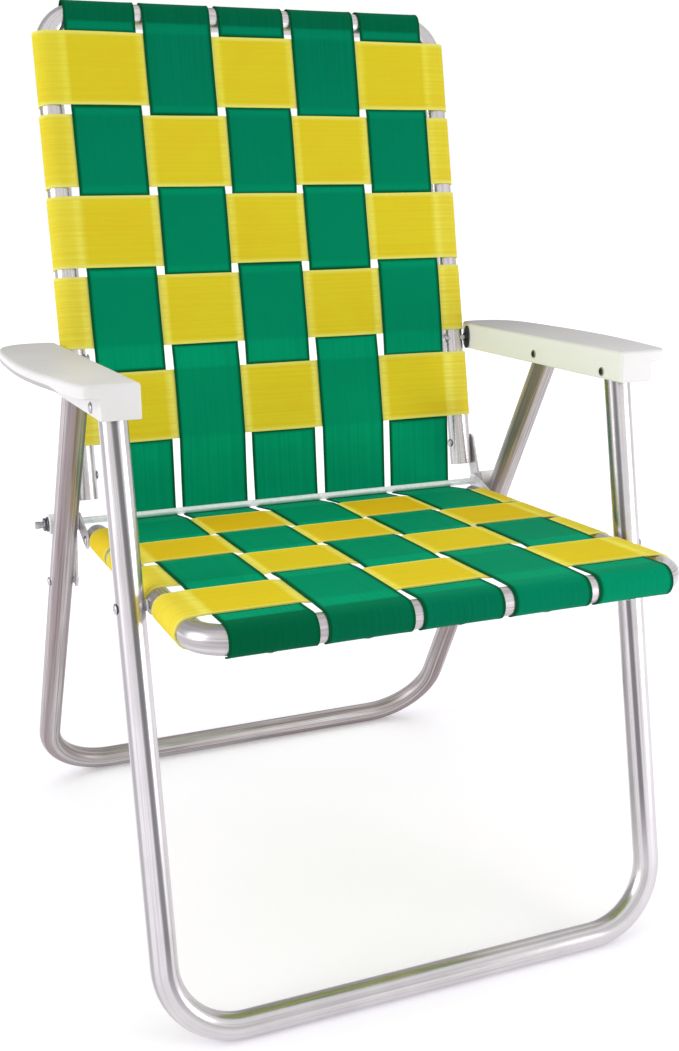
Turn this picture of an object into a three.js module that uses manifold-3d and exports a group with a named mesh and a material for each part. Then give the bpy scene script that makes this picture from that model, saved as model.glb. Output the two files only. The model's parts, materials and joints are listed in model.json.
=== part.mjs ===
// Folding lawn chair: bent aluminium tube frames, woven webbing and moulded arms.
// Millimetres, +Z up, the chair faces -Y. Left is the sitter's left, at +X.
import * as THREE from "three";
import { mergeVertices } from "three/addons/utils/BufferGeometryUtils.js";
import Module from "manifold-3d";

const wasm = await Module();
wasm.setup();
const rad = THREE.MathUtils.degToRad;

// Driving dimensions of the frames
const TUBE_DIAMETER = 25.4;
const TUBE_WALL = 1.4;
const FLOOR_LENGTH = 582; // between the centres of the two floor bars
const LEAN = rad(12.2); // front legs and back lean back together
const SEAT_PITCH = rad(3.4); // the seat rises to the front
const FRONT_LEG_BEND = 70;
const REAR_LEG_SPLAY = 8.45; // each rear leg, outwards from the arm to the floor
const REAR_LEG_BEND = 80;
const LEG_TOP = 6; // leg tube above its arm pivot
const SEAT_PIVOT_HEIGHT = 397;
const HINGE_REACH = 304; // along the seat, from the seat pivot back to the hinge
const HINGE_RISE = 13.5; // hinge above the centre line of the seat tube
const SEAT_OVERHANG = 126; // centre of the seat's front tube in front of the seat pivot
const SEAT_SPREAD = 452; // between the centre lines of the seat's side tubes
const SEAT_SPACER = 2.6; // between the seat tube and the front leg
const BACK_SETBACK = 8; // centre line of the back tube behind the hinge
const BACK_LENGTH = 539; // hinge to the centre of the back's top tube
const BACK_OFFSET = 3; // foot of each back tube outside the seat tube
const BACK_TAPER = 4; // each back tube, inwards from the foot to the top
const SEAT_BEND = 34;
const BACK_BEND = 38;
const TUBE_START = 22; // seat and back tubes start this far from the hinge
const ARM_RISE = 174.1; // arm pivots above the seat pivot and the hinge
const FOLD = rad(86); // travel of the seat when the chair folds flat

// Driving dimensions of the webbing
const WEB_WIDTH = 76.2;
const WEB_THICKNESS = 1;
const WEB_LEAST_GAP = 6; // between neighbouring webs
const WEB_SIDE_GAP = 5.6; // between the outer long web and the seat tube
const BACK_ROW_TOP = 59.8; // first row below the centre of the top tube
const ARM_SPACER_ABOVE = 4.6; // from the arm's spacer up to the next row
const ARM_SPACER_BELOW = 12; // from the arm's spacer down to the lowest row
const SEAT_SPACER_BEHIND = 0.9; // from the seat's spacer back to the next row
const PLATE_TO_ROW = 2.4; // from the seat's hinge plate to the first row
const ROW_INTO_BEND = 2.1; // the front row reaches this far into the seat's bend
const WEB_WRAP = rad(178);

// Driving dimensions of the arms
const ARM_PITCH = rad(2.07);
const ARM_NOSE = 35.7; // front face in front of the front leg's pivot
const ARM_REAR = 22; // behind the back pivot
const ARM_HEIGHT = 31;
const ARM_HEADROOM = 0.35; // between the turning leg tops and the top's underside
const ARM_TOP_THICKNESS = 3;
const ARM_WALL = 2.6;
const ARM_LIP = 12;
const ARM_EDGE = 2; // rounded edge of the top
const ARM_SPACER = 5.1; // between the back tube and the arm
const ARM_LEG_ROOM = 2.9; // between the inner wall and the front leg, at the front face
const CHANNEL_ROOM = 4.4; // the channel is this much wider inside than a leg tube
const PADDLE_FRONT_LIP = 17.2; // paddle outside the channel at the front
const PADDLE_WIDEST_LIP = 32.5; // at its widest
const PADDLE_REAR_LIP = 19.5; // at the rear

// Driving dimensions of the hardware
const ROD_DIAMETER = 8;
const ROD_TIP = 8.5; // rod beyond its nut
const STOP_BUSH_DIAMETER = 21.5;
const PLATE_THICKNESS = 2.4;
const PLATE_RADIUS = 9.5;
const SEAT_PLATE_REACH = 36;
const BACK_PLATE_REACH = 48;
const LINK_RADIUS = 9;
const LINK_BOSS_RADIUS = 5.5;
const RIVET_DIAMETER = 6;
const RIVET_HEAD_RADIUS = 5;
const RIVET_HEAD_HEIGHT = 2.2;
const SPACER_RADIUS = 5;
const FLANGE_RADIUS = 13.5; // of the spacer between the back tube and the arm
const WASHER_RADIUS = 8;
const WASHER_THICKNESS = 1.8;
const NUT_ACROSS_FLATS = 13;
const NUT_HEIGHT = 3;
const GAP = 0.3;

// How finely round shapes are cut
const TUBE_SIDES = 18;
const BEND_STEPS = 5;
const ROUND_SIDES = 12;
const WRAP_STEPS = 9;

// Points of the side view, all derived from the driving dimensions
const TUBE_RADIUS = TUBE_DIAMETER / 2;
const ROD_RADIUS = ROD_DIAMETER / 2;
const RIVET_RADIUS = RIVET_DIAMETER / 2;
const HOLE_RADIUS = RIVET_RADIUS + GAP + 0.1;
const ROD_HOLE_RADIUS = ROD_RADIUS + GAP + 0.1;
const BAR_HEIGHT = TUBE_RADIUS * Math.cos(Math.PI / TUBE_SIDES);
const across = new THREE.Vector3(1, 0, 0);
const foldAxis = new THREE.Vector3(-1, 0, 0);
const leanUp = new THREE.Vector3(0, Math.sin(LEAN), Math.cos(LEAN));
const backFront = new THREE.Vector3(0, -Math.cos(LEAN), Math.sin(LEAN));
const seatFront = new THREE.Vector3(0, -Math.cos(SEAT_PITCH), Math.sin(SEAT_PITCH));
const seatUp = new THREE.Vector3(0, Math.sin(SEAT_PITCH), Math.cos(SEAT_PITCH));
const armFront = new THREE.Vector3(0, -Math.cos(ARM_PITCH), Math.sin(ARM_PITCH));
const armUp = new THREE.Vector3(0, Math.sin(ARM_PITCH), Math.cos(ARM_PITCH));
const frontBar = new THREE.Vector3(0, -FLOOR_LENGTH / 2, BAR_HEIGHT);
const rearBar = new THREE.Vector3(0, FLOOR_LENGTH / 2, BAR_HEIGHT);

function from(origin, ...steps) {
  const point = origin.clone();
  for (const [direction, length] of steps) point.addScaledVector(direction, length);
  return point;
}

const seatPivotLength = (SEAT_PIVOT_HEIGHT - BAR_HEIGHT) / Math.cos(LEAN);
const seatPivot = from(frontBar, [leanUp, seatPivotLength]);
const hinge = from(seatPivot, [seatFront, -HINGE_REACH], [seatUp, HINGE_RISE]);
const armFrontPivot = from(seatPivot, [leanUp, ARM_RISE]);
const armBackPivot = from(hinge, [leanUp, ARM_RISE]);
const armLine = armFrontPivot.clone().sub(armBackPivot).normalize();

// Each rear leg runs from its floor bar past the front of the stop bush up to the arm
const BUSH_RADIUS = STOP_BUSH_DIAMETER / 2;
const toHinge = hinge.clone().sub(rearBar);
const legTurn = Math.asin((BUSH_RADIUS + GAP + TUBE_RADIUS) / toHinge.length());
const rearUp = toHinge.clone().normalize().applyAxisAngle(across, legTurn);
const crossInSideView = (a, b) => a.y * b.z - a.z * b.y;
const toArm = armBackPivot.clone().sub(rearBar);
const REAR_PIVOT_REACH = -crossInSideView(toArm, rearUp) / crossInSideView(armLine, rearUp);
const armRearPivot = from(armBackPivot, [armLine, REAR_PIVOT_REACH]);
const rearLength = armRearPivot.distanceTo(rearBar);

// The link pivot on the rear leg is the one point equally far from the hinge open and folded
const foldedReach = armLine.clone().applyAxisAngle(foldAxis, FOLD).multiplyScalar(REAR_PIVOT_REACH);
const foldedArm = armBackPivot.clone().add(foldedReach).sub(hinge);
const openArm = armRearPivot.clone().sub(hinge);
const linkDrop =
  (foldedArm.lengthSq() - openArm.lengthSq()) / (2 * (foldedArm.dot(leanUp) - openArm.dot(rearUp)));
const linkPivot = from(armRearPivot, [rearUp, -linkDrop]);

// Sideways positions of the seat, the front legs and the back
const SEAT_LENGTH = HINGE_REACH + SEAT_OVERHANG;
const FRONT_LEG_SPREAD = SEAT_SPREAD + 2 * (TUBE_DIAMETER + SEAT_SPACER);
const frontLegX = FRONT_LEG_SPREAD / 2;
const seatX = SEAT_SPREAD / 2;
const backSplay = BACK_TAPER / BACK_LENGTH;
const backX = (height) => seatX + BACK_OFFSET - backSplay * height;

// The arm's channel runs from the spacer on the back tube to the front leg
const reachOf = (pivot) => from(pivot).sub(armBackPivot).dot(armFront);
const ARM_LENGTH = reachOf(armFrontPivot) + ARM_NOSE;
const ARM_TOP_RISE = ARM_TOP_THICKNESS + Math.hypot(TUBE_RADIUS, LEG_TOP) + ARM_HEADROOM;
const CHANNEL_WIDTH = TUBE_DIAMETER + CHANNEL_ROOM + 2 * ARM_WALL;
const ARM_INNER_REAR = backX(ARM_RISE) + TUBE_RADIUS + ARM_SPACER;
const ARM_INNER_FRONT = frontLegX - TUBE_RADIUS - ARM_LEG_ROOM - ARM_WALL;
const PADDLE_FRONT = ARM_INNER_FRONT + CHANNEL_WIDTH + PADDLE_FRONT_LIP;
const PADDLE_WIDEST = ARM_INNER_REAR + CHANNEL_WIDTH + PADDLE_WIDEST_LIP;
const PADDLE_REAR = ARM_INNER_REAR + CHANNEL_WIDTH + PADDLE_REAR_LIP;
const innerFace = (v) => THREE.MathUtils.lerp(ARM_INNER_REAR, ARM_INNER_FRONT, v / ARM_LENGTH);
const outerFace = (v) => innerFace(v) + CHANNEL_WIDTH;
const headTilt = (RIVET_HEAD_RADIUS * (ARM_INNER_REAR - ARM_INNER_FRONT)) / ARM_LENGTH;

// Each rear leg hangs in the middle of the channel, and the hinge pieces fill the space beside it
const rearReach = reachOf(armRearPivot);
const REAR_LEG_TOP_SPREAD = innerFace(rearReach) + outerFace(rearReach);
const rearLegX = (drop) => REAR_LEG_TOP_SPREAD / 2 + (REAR_LEG_SPLAY * drop) / rearLength;
const seatPlateX = seatX + TUBE_RADIUS + GAP;
const backPlateX = Math.max(backX(0) + TUBE_RADIUS + GAP, seatPlateX + PLATE_THICKNESS + GAP);
const linkX = backPlateX + PLATE_THICKNESS + GAP;
const hingeDrop = armRearPivot.clone().sub(hinge).dot(rearUp);
const bushEnd = rearLegX(hingeDrop) + TUBE_RADIUS;
const washerX = bushEnd + GAP;
const nutX = washerX + WASHER_THICKNESS + GAP;
const ROD_LENGTH = 2 * (nutX + NUT_HEIGHT + ROD_TIP);

// Materials
function paint(color, roughness, metalness) {
  return () => new THREE.MeshStandardMaterial({ color, roughness, metalness });
}
const aluminium = paint(0xd6d7da, 0.25, 1);
const steel = paint(0x9b9c9c, 0.4, 1);
const whitePlastic = paint(0xe9e9e3, 0.5, 0);
const darkPlastic = paint(0x26272a, 0.6, 0);
const yellowWeb = paint(0xd6b926, 0.75, 0);
const greenWeb = paint(0x03704f, 0.75, 0);

// Solids and booleans
function solid(geometry) {
  const bare = geometry.clone();
  bare.deleteAttribute("normal");
  bare.deleteAttribute("uv");
  const merged = mergeVertices(bare, 1e-4);
  const mesh = new wasm.Mesh({
    numProp: 3,
    vertProperties: merged.attributes.position.array,
    triVerts: new Uint32Array(merged.index.array),
  });
  return new wasm.Manifold(mesh);
}

function geometryOf(manifold) {
  const mesh = manifold.getMesh();
  const geometry = new THREE.BufferGeometry();
  geometry.setAttribute("position", new THREE.BufferAttribute(mesh.vertProperties, 3));
  geometry.setIndex(new THREE.BufferAttribute(mesh.triVerts, 1));
  geometry.computeVertexNormals();
  return geometry;
}

function cut(geometry, cutters) {
  let body = solid(geometry);
  for (const cutter of cutters) body = body.subtract(solid(cutter));
  return geometryOf(body);
}

function pinHole(point, x, reach, radius = HOLE_RADIUS) {
  const cylinder = new THREE.CylinderGeometry(radius, radius, reach, ROUND_SIDES);
  return cylinder.rotateZ(Math.PI / 2).translate(x, point.y, point.z);
}

// Bent tubes: rings only at the ends and round each bend, in one plane
class TubeRoute extends THREE.Curve {
  constructor(corners, bend, planeNormal) {
    super();
    this.planeNormal = planeNormal;
    this.points = [];
    this.tangents = [];
    const first = corners[1].clone().sub(corners[0]).normalize();
    this.addRing(corners[0], first);
    for (let i = 1; i < corners.length - 1; i++) this.addBend(corners[i - 1], corners[i], corners[i + 1], bend);
    const last = corners.at(-1).clone().sub(corners.at(-2)).normalize();
    this.addRing(corners.at(-1), last);
  }
  addRing(point, tangent) {
    this.points.push(point.clone());
    this.tangents.push(tangent.clone());
  }
  addBend(before, corner, after, bend) {
    const back = before.clone().sub(corner).normalize();
    const ahead = after.clone().sub(corner).normalize();
    const half = back.angleTo(ahead) / 2;
    const turn = Math.PI - 2 * half;
    const axis = ahead.clone().cross(back).normalize();
    const middle = back.clone().add(ahead).normalize();
    const centre = from(corner, [middle, bend / Math.sin(half)]);
    const start = from(corner, [back, bend / Math.tan(half)]).sub(centre);
    for (let i = 0; i <= BEND_STEPS; i++) {
      const angle = (turn * i) / BEND_STEPS;
      const spoke = start.clone().applyAxisAngle(axis, angle);
      const tangent = back.clone().negate().applyAxisAngle(axis, angle);
      this.addRing(centre.clone().add(spoke), tangent);
    }
  }
  getPoint(t) {
    return this.points[Math.round(t * (this.points.length - 1))].clone();
  }
  getSpacedPoints() {
    return this.points;
  }
  computeFrenetFrames() {
    const normals = this.tangents.map(() => this.planeNormal);
    const binormals = this.tangents.map((tangent) => tangent.clone().cross(this.planeNormal));
    return { tangents: this.tangents, normals, binormals };
  }
}

function ring(radius, facet) {
  const points = [];
  for (let i = 0; i < TUBE_SIDES; i++) {
    const angle = facet + ((i + 0.5) * 2 * Math.PI) / TUBE_SIDES;
    points.push(new THREE.Vector2(radius * Math.cos(angle), radius * Math.sin(angle)));
  }
  return points;
}

// One flat of the tube's many-sided section faces straight down on the cross bar
function bentTube(corners, bend, planeNormal) {
  const facet = Math.atan2(-planeNormal.y, -planeNormal.z);
  const section = new THREE.Shape(ring(TUBE_RADIUS, facet));
  section.holes.push(new THREE.Path(ring(TUBE_RADIUS - TUBE_WALL, facet)));
  const route = new TubeRoute(corners, bend, planeNormal);
  return new THREE.ExtrudeGeometry(section, { steps: route.points.length - 1, extrudePath: route });
}

function uFrame(origin, direction, length, endLength, endX, barX, bend, planeNormal) {
  const corners = [
    from(origin, [direction, endLength], [across, -endX]),
    from(origin, [direction, length], [across, -barX]),
    from(origin, [direction, length], [across, barX]),
    from(origin, [direction, endLength], [across, endX]),
  ];
  return bentTube(corners, bend, planeNormal);
}

function bothSides(point, x, reach, radius) {
  return [pinHole(point, x, reach, radius), pinHole(point, -x, reach, radius)];
}

// Rivets and turned pieces, along X
function turned(profile, point, start, side) {
  const outline = profile.map(([radius, along]) => new THREE.Vector2(radius, along));
  const lathe = new THREE.LatheGeometry(outline, ROUND_SIDES);
  lathe.rotateZ(side > 0 ? -Math.PI / 2 : Math.PI / 2);
  return lathe.translate(side * start, point.y, point.z);
}

function rivet(point, side, start, end, innerHead = RIVET_HEAD_HEIGHT) {
  const low = -GAP;
  const high = end - start + GAP;
  const crown = 0.62 * RIVET_HEAD_RADIUS;
  const profile = [
    [0, low - innerHead],
    [crown, low - 0.8 * innerHead],
    [RIVET_HEAD_RADIUS, low],
    [RIVET_RADIUS, low],
    [RIVET_RADIUS, high],
    [RIVET_HEAD_RADIUS, high],
    [crown, high + 0.8 * RIVET_HEAD_HEIGHT],
    [0, high + RIVET_HEAD_HEIGHT],
  ];
  return turned(profile, point, start, side);
}

function sleeve(point, side, start, end, radius, bore) {
  const length = end - start;
  const profile = [
    [bore, 0],
    [radius, 0],
    [radius, length],
    [bore, length],
    [bore, 0],
  ];
  return turned(profile, point, start, side);
}

function flangedSleeve(point, side, start, flangeStart, end) {
  const profile = [
    [HOLE_RADIUS, 0],
    [SPACER_RADIUS, 0],
    [SPACER_RADIUS, flangeStart - start],
    [FLANGE_RADIUS, flangeStart - start],
    [FLANGE_RADIUS, end - start],
    [HOLE_RADIUS, end - start],
    [HOLE_RADIUS, 0],
  ];
  return turned(profile, point, start, side);
}

// Flat pieces drawn in the side view and given a thickness along X
const sideView = (point, origin) => new THREE.Vector2(point.y - origin.y, point.z - origin.z);

function strap(a, b, radius, holeA, holeB) {
  const direction = sideView(b, a);
  const heading = direction.angle();
  const shape = new THREE.Shape();
  shape.absarc(0, 0, radius, heading + Math.PI / 2, heading + 1.5 * Math.PI, false);
  shape.absarc(direction.x, direction.y, radius, heading - Math.PI / 2, heading + Math.PI / 2, false);
  if (holeA) shape.holes.push(new THREE.Path().absarc(0, 0, holeA, 0, 2 * Math.PI, true));
  if (holeB) shape.holes.push(new THREE.Path().absarc(direction.x, direction.y, holeB, 0, 2 * Math.PI, true));
  return shape;
}

function sidePlate(shape, origin, side, start, thickness) {
  const plate = new THREE.ExtrudeGeometry(shape, { depth: thickness, bevelEnabled: false, curveSegments: 6 });
  const turn = new THREE.Matrix4().makeBasis(
    new THREE.Vector3(0, 1, 0),
    new THREE.Vector3(0, 0, 1),
    new THREE.Vector3(1, 0, 0),
  );
  const x = side > 0 ? start : -start - thickness;
  return plate.applyMatrix4(turn).translate(x, origin.y, origin.z);
}

// Webbing: a strip drawn along its path and given the width of the web
function stripShape(path) {
  const upper = [];
  const lower = [];
  path.forEach((point, i) => {
    const before = path[Math.max(i - 1, 0)];
    const after = path[Math.min(i + 1, path.length - 1)];
    const ahead = after.clone().sub(point);
    const behind = point.clone().sub(before);
    if (i === 0) behind.copy(ahead);
    if (i === path.length - 1) ahead.copy(behind);
    const tangent = ahead.normalize().add(behind.normalize()).normalize();
    const reach = WEB_THICKNESS / 2 / tangent.dot(behind);
    const normal = new THREE.Vector2(-tangent.y, tangent.x).multiplyScalar(reach);
    upper.push(point.clone().add(normal));
    lower.push(point.clone().sub(normal));
  });
  return new THREE.Shape([...lower, ...upper.reverse()]);
}

function strip(path, along, up, origin) {
  const width = along.clone().cross(up);
  const basis = new THREE.Matrix4().makeBasis(along, up, width);
  basis.setPosition(from(origin, [width, -WEB_WIDTH / 2]));
  const web = new THREE.ExtrudeGeometry(stripShape(path), { depth: WEB_WIDTH, bevelEnabled: false });
  return web.applyMatrix4(basis);
}

function arc(centreX, centreY, radius, start, end, steps) {
  const points = [];
  for (let i = 0; i <= steps; i++) {
    const angle = start + ((end - start) * i) / steps;
    points.push(new THREE.Vector2(centreX + radius * Math.cos(angle), centreY + radius * Math.sin(angle)));
  }
  return points;
}

const WEAVE_LIFT = (WEB_THICKNESS + GAP) / 2;
const FLAT_MARGIN = 1; // a web stays flat this far past each side of a crossing
const FLAT = WEB_WIDTH / 2 + FLAT_MARGIN;
const QUARTER = Math.PI / 2;
const SEAT_WRAP = TUBE_RADIUS + GAP + WEB_THICKNESS / 2;
const BACK_WRAP = SEAT_WRAP + backSplay * WEB_WIDTH;
const ROD_WRAP = ROD_RADIUS + GAP + WEB_THICKNESS / 2;
const ROD_WRAP_ANGLE = rad(36);

function crossings(places) {
  return places.flatMap(({ at, over }) => {
    const lift = over ? WEAVE_LIFT : -WEAVE_LIFT;
    return [new THREE.Vector2(at - FLAT, lift), new THREE.Vector2(at + FLAT, lift)];
  });
}

function crossPath(tubeX, wrap, places) {
  const rightEnd = arc(-tubeX, -wrap, wrap, QUARTER + WEB_WRAP, QUARTER, WRAP_STEPS);
  const leftEnd = arc(tubeX, -wrap, wrap, QUARTER, QUARTER - WEB_WRAP, WRAP_STEPS);
  return [...rightEnd, ...crossings(places), ...leftEnd];
}

// From behind the hinge rod, over and under the rows, round the end tube
function longPath(rodDepth, endTube, wrap, places) {
  const woven = crossings(places);
  const toRod = woven[0].clone().sub(new THREE.Vector2(0, -rodDepth));
  const touch = toRod.angle() - Math.acos(ROD_WRAP / toRod.length());
  const rodEnd = arc(0, -rodDepth, ROD_WRAP, touch - ROD_WRAP_ANGLE, touch, 4);
  const farEnd = arc(endTube, -wrap, wrap, QUARTER, QUARTER - WEB_WRAP, WRAP_STEPS);
  return [...rodEnd, ...woven, ...farEnd];
}

// As many webs as fit between the first and the last place, evenly spaced
function webPlaces(first, last) {
  const spaces = Math.floor((last - first) / (WEB_WIDTH + WEB_LEAST_GAP));
  const pitch = spaces > 0 ? (last - first) / spaces : 0;
  return Array.from({ length: spaces + 1 }, (_, i) => first + i * pitch);
}

const HALF_WEB = WEB_WIDTH / 2;
const lastColumn = seatX - TUBE_RADIUS - WEB_SIDE_GAP - HALF_WEB;
const columns = webPlaces(-lastColumn, lastColumn);
const rowAboveArm = ARM_RISE + SPACER_RADIUS + ARM_SPACER_ABOVE + HALF_WEB;
const rowBelowArm = ARM_RISE - SPACER_RADIUS - ARM_SPACER_BELOW - HALF_WEB;
const backRows = [rowBelowArm, ...webPlaces(rowAboveArm, BACK_LENGTH - BACK_ROW_TOP)].reverse();
const firstSeatRow = SEAT_PLATE_REACH + PLATE_RADIUS + PLATE_TO_ROW + HALF_WEB;
const rowBehindPivot = HINGE_REACH - SPACER_RADIUS - SEAT_SPACER_BEHIND - HALF_WEB;
const frontSeatRow = SEAT_LENGTH - SEAT_BEND + ROW_INTO_BEND - HALF_WEB;
const seatRows = [...webPlaces(firstSeatRow, rowBehindPivot), frontSeatRow];
const backCrossOver = (row, column) => (row + column) % 2 === 0;
const seatCrossOver = (row, column) => (row + column) % 2 === 1;

// Arms: a channel over the leg tops, under a wider top with a turned-down lip
function paddleShape(side, inset) {
  const front = ARM_LENGTH - inset;
  const rear = inset - ARM_REAR;
  const inner = innerFace(0) + inset;
  const widest = PADDLE_WIDEST - inset;
  const tail = PADDLE_REAR - inset;
  const shape = new THREE.Shape();
  shape.moveTo(side * (innerFace(ARM_LENGTH) + inset), front);
  shape.lineTo(side * (PADDLE_FRONT - 10 - inset), front);
  shape.quadraticCurveTo(side * (PADDLE_FRONT - 2 - inset), front, side * (PADDLE_FRONT - inset), front - 10);
  shape.bezierCurveTo(
    side * (PADDLE_FRONT + 14 - inset),
    0.76 * ARM_LENGTH,
    side * widest,
    0.6 * ARM_LENGTH,
    side * widest,
    0.35 * ARM_LENGTH,
  );
  shape.bezierCurveTo(side * widest, 0.12 * ARM_LENGTH, side * (tail + 12), 8, side * tail, -6);
  shape.bezierCurveTo(side * (tail - 8), rear + 3, side * (tail - 18), rear, side * (inner + 16), rear);
  shape.quadraticCurveTo(side * inner, rear, side * inner, rear + 14);
  shape.lineTo(side * inner, 0);
  return shape;
}

function channelShape(side, inset) {
  const front = ARM_LENGTH - inset;
  const rear = inset - ARM_REAR + ARM_WALL;
  const middle = (innerFace(0) + outerFace(0)) / 2;
  const straight = -RIVET_HEAD_RADIUS; // the walls stay flat under the head of the back rivet
  const shape = new THREE.Shape();
  shape.moveTo(side * (innerFace(ARM_LENGTH) + inset), front);
  shape.lineTo(side * (outerFace(ARM_LENGTH) - inset), front);
  shape.lineTo(side * (outerFace(0) - inset), straight);
  shape.quadraticCurveTo(side * (outerFace(0) - inset), rear, side * middle, rear);
  shape.quadraticCurveTo(side * (innerFace(0) + inset), rear, side * (innerFace(0) + inset), straight);
  return shape;
}

function armLayer(shape, top, bottom, edge) {
  const depth = bottom - top - 2 * edge;
  const layer = new THREE.ExtrudeGeometry(shape, {
    depth,
    bevelEnabled: edge > 0,
    bevelThickness: edge,
    bevelSize: edge,
    bevelOffset: -edge,
    bevelSegments: 2,
    curveSegments: 5,
  });
  const basis = new THREE.Matrix4().makeBasis(across, armFront, armUp.clone().negate());
  basis.setPosition(from(armBackPivot, [armUp, ARM_TOP_RISE - top - edge]));
  return layer.applyMatrix4(basis);
}

function arm(side) {
  const below = ARM_HEIGHT + 10;
  const top = solid(armLayer(paddleShape(side, 0), 0, ARM_LIP, ARM_EDGE));
  const underTop = solid(armLayer(paddleShape(side, ARM_WALL), ARM_TOP_THICKNESS, below, 0));
  const channel = solid(armLayer(channelShape(side, 0), ARM_EDGE, ARM_HEIGHT, 0));
  const inside = solid(armLayer(channelShape(side, ARM_WALL), ARM_TOP_THICKNESS, below, 0));
  let body = top.subtract(underTop).add(channel).subtract(inside);
  const wide = 3 * CHANNEL_WIDTH;
  const middle = side * (ARM_INNER_REAR + CHANNEL_WIDTH / 2);
  for (const pivot of [armFrontPivot, armRearPivot]) body = body.subtract(solid(pinHole(pivot, middle, wide)));
  const innerWall = side * ARM_INNER_REAR;
  body = body.subtract(solid(pinHole(armBackPivot, innerWall, 6 * ARM_WALL)));
  return geometryOf(body);
}

// Assembly
const chair = new THREE.Group();
chair.name = "folding_lawn_chair";
const bodies = {};
for (const name of ["back", "seat", "front_legs", "rear_legs", "arms", "links"]) {
  bodies[name] = new THREE.Group();
  bodies[name].name = name;
  chair.add(bodies[name]);
}

function put(body, name, geometry, material) {
  const mesh = new THREE.Mesh(geometry, material());
  mesh.name = name;
  bodies[body].add(mesh);
}

// Tube frames with their pivot holes
const wide = 3 * TUBE_DIAMETER;
const frontTop = seatPivotLength + ARM_RISE + LEG_TOP;
const frontNormal = backFront.clone().negate();
const frontTube = uFrame(frontBar, leanUp, 0, frontTop, frontLegX, frontLegX, FRONT_LEG_BEND, frontNormal);
const frontHoles = [armFrontPivot, seatPivot].flatMap((pivot) => bothSides(pivot, frontLegX, wide));
put("front_legs", "front_leg_frame", cut(frontTube, frontHoles), aluminium);

const rearNormal = across.clone().cross(rearUp);
const rearTop = rearLength + LEG_TOP;
const rearTube = uFrame(
  rearBar,
  rearUp,
  0,
  rearTop,
  rearLegX(-LEG_TOP),
  rearLegX(rearLength),
  REAR_LEG_BEND,
  rearNormal,
);
const rearHoles = [armRearPivot, linkPivot].flatMap((pivot) => bothSides(pivot, rearLegX(0), wide));
put("rear_legs", "rear_leg_frame", cut(rearTube, rearHoles), aluminium);

const seatLine = from(hinge, [seatUp, -HINGE_RISE]);
const seatTube = uFrame(seatLine, seatFront, SEAT_LENGTH, TUBE_START, seatX, seatX, SEAT_BEND, seatUp);
const seatRivetPoint = from(seatLine, [seatFront, SEAT_PLATE_REACH]);
const seatHoles = [seatPivot, seatRivetPoint].flatMap((pivot) => bothSides(pivot, seatX, wide));
put("seat", "seat_frame", cut(seatTube, seatHoles), aluminium);

const backLine = from(hinge, [backFront, -BACK_SETBACK]);
const backTube = uFrame(
  backLine,
  leanUp,
  BACK_LENGTH,
  TUBE_START,
  backX(TUBE_START),
  backX(BACK_LENGTH),
  BACK_BEND,
  backFront,
);
const backRivetPoint = from(backLine, [leanUp, BACK_PLATE_REACH]);
const backHoles = [armBackPivot, backRivetPoint].flatMap((pivot) => bothSides(pivot, backX(0), wide));
put("back", "back_frame", cut(backTube, backHoles), aluminium);

// Long webs, one above and one in front of the hinge rod in each column
const backRodDepth = BACK_WRAP - BACK_SETBACK;
const seatRodDepth = SEAT_WRAP - HINGE_RISE;
columns.forEach((x, i) => {
  const column = i + 1;
  const backPlaces = backRows.map((at, j) => ({ at, over: !backCrossOver(j + 1, column) })).reverse();
  const backPath = longPath(backRodDepth, BACK_LENGTH, BACK_WRAP, backPlaces);
  const backOrigin = from(hinge, [backFront, backRodDepth], [across, x]);
  put("back", "back_web_" + column, strip(backPath, leanUp, backFront, backOrigin), greenWeb);
  const seatPlaces = seatRows.map((at, j) => ({ at, over: !seatCrossOver(j + 1, column) }));
  const seatPath = longPath(seatRodDepth, SEAT_LENGTH, SEAT_WRAP, seatPlaces);
  const seatOrigin = from(hinge, [seatUp, seatRodDepth], [across, x]);
  put("seat", "seat_web_" + column, strip(seatPath, seatFront, seatUp, seatOrigin), greenWeb);
});

// Cross webs, wrapped round the side tubes
backRows.forEach((height, i) => {
  const places = columns.map((x, j) => ({ at: x, over: backCrossOver(i + 1, j + 1) }));
  const path = crossPath(backX(height), BACK_WRAP, places);
  const origin = from(hinge, [backFront, backRodDepth], [leanUp, height]);
  put("back", "back_cross_web_" + (i + 1), strip(path, across, backFront, origin), yellowWeb);
});
seatRows.forEach((reach, i) => {
  const places = columns.map((x, j) => ({ at: x, over: seatCrossOver(i + 1, j + 1) }));
  const path = crossPath(seatX, SEAT_WRAP, places);
  const origin = from(hinge, [seatUp, seatRodDepth], [seatFront, reach]);
  put("seat", "seat_cross_web_" + (i + 1), strip(path, across, seatUp, origin), yellowWeb);
});

// Hinge rod across the chair
const rod = new THREE.CylinderGeometry(ROD_RADIUS, ROD_RADIUS, ROD_LENGTH, ROUND_SIDES);
put("back", "hinge_rod", rod.rotateZ(Math.PI / 2).translate(0, hinge.y, hinge.z), steel);

const nutShape = new THREE.Shape();
for (let i = 0; i < 6; i++) {
  const corner = NUT_ACROSS_FLATS / Math.sqrt(3);
  const point = [corner * Math.cos((i * Math.PI) / 3), corner * Math.sin((i * Math.PI) / 3)];
  if (i === 0) nutShape.moveTo(...point);
  else nutShape.lineTo(...point);
}
nutShape.holes.push(new THREE.Path().absarc(0, 0, ROD_HOLE_RADIUS, 0, 2 * Math.PI, true));

const bossLength = RIVET_HEAD_HEIGHT;
function link(side) {
  const shape = strap(hinge, linkPivot, LINK_RADIUS, ROD_HOLE_RADIUS, 0);
  const plate = solid(sidePlate(shape, hinge, side, linkX, PLATE_THICKNESS));
  const bossX = side * (linkX - bossLength / 2 + PLATE_THICKNESS / 4);
  const boss = solid(pinHole(linkPivot, bossX, bossLength + PLATE_THICKNESS / 2, LINK_BOSS_RADIUS));
  return geometryOf(plate.add(boss));
}

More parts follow.
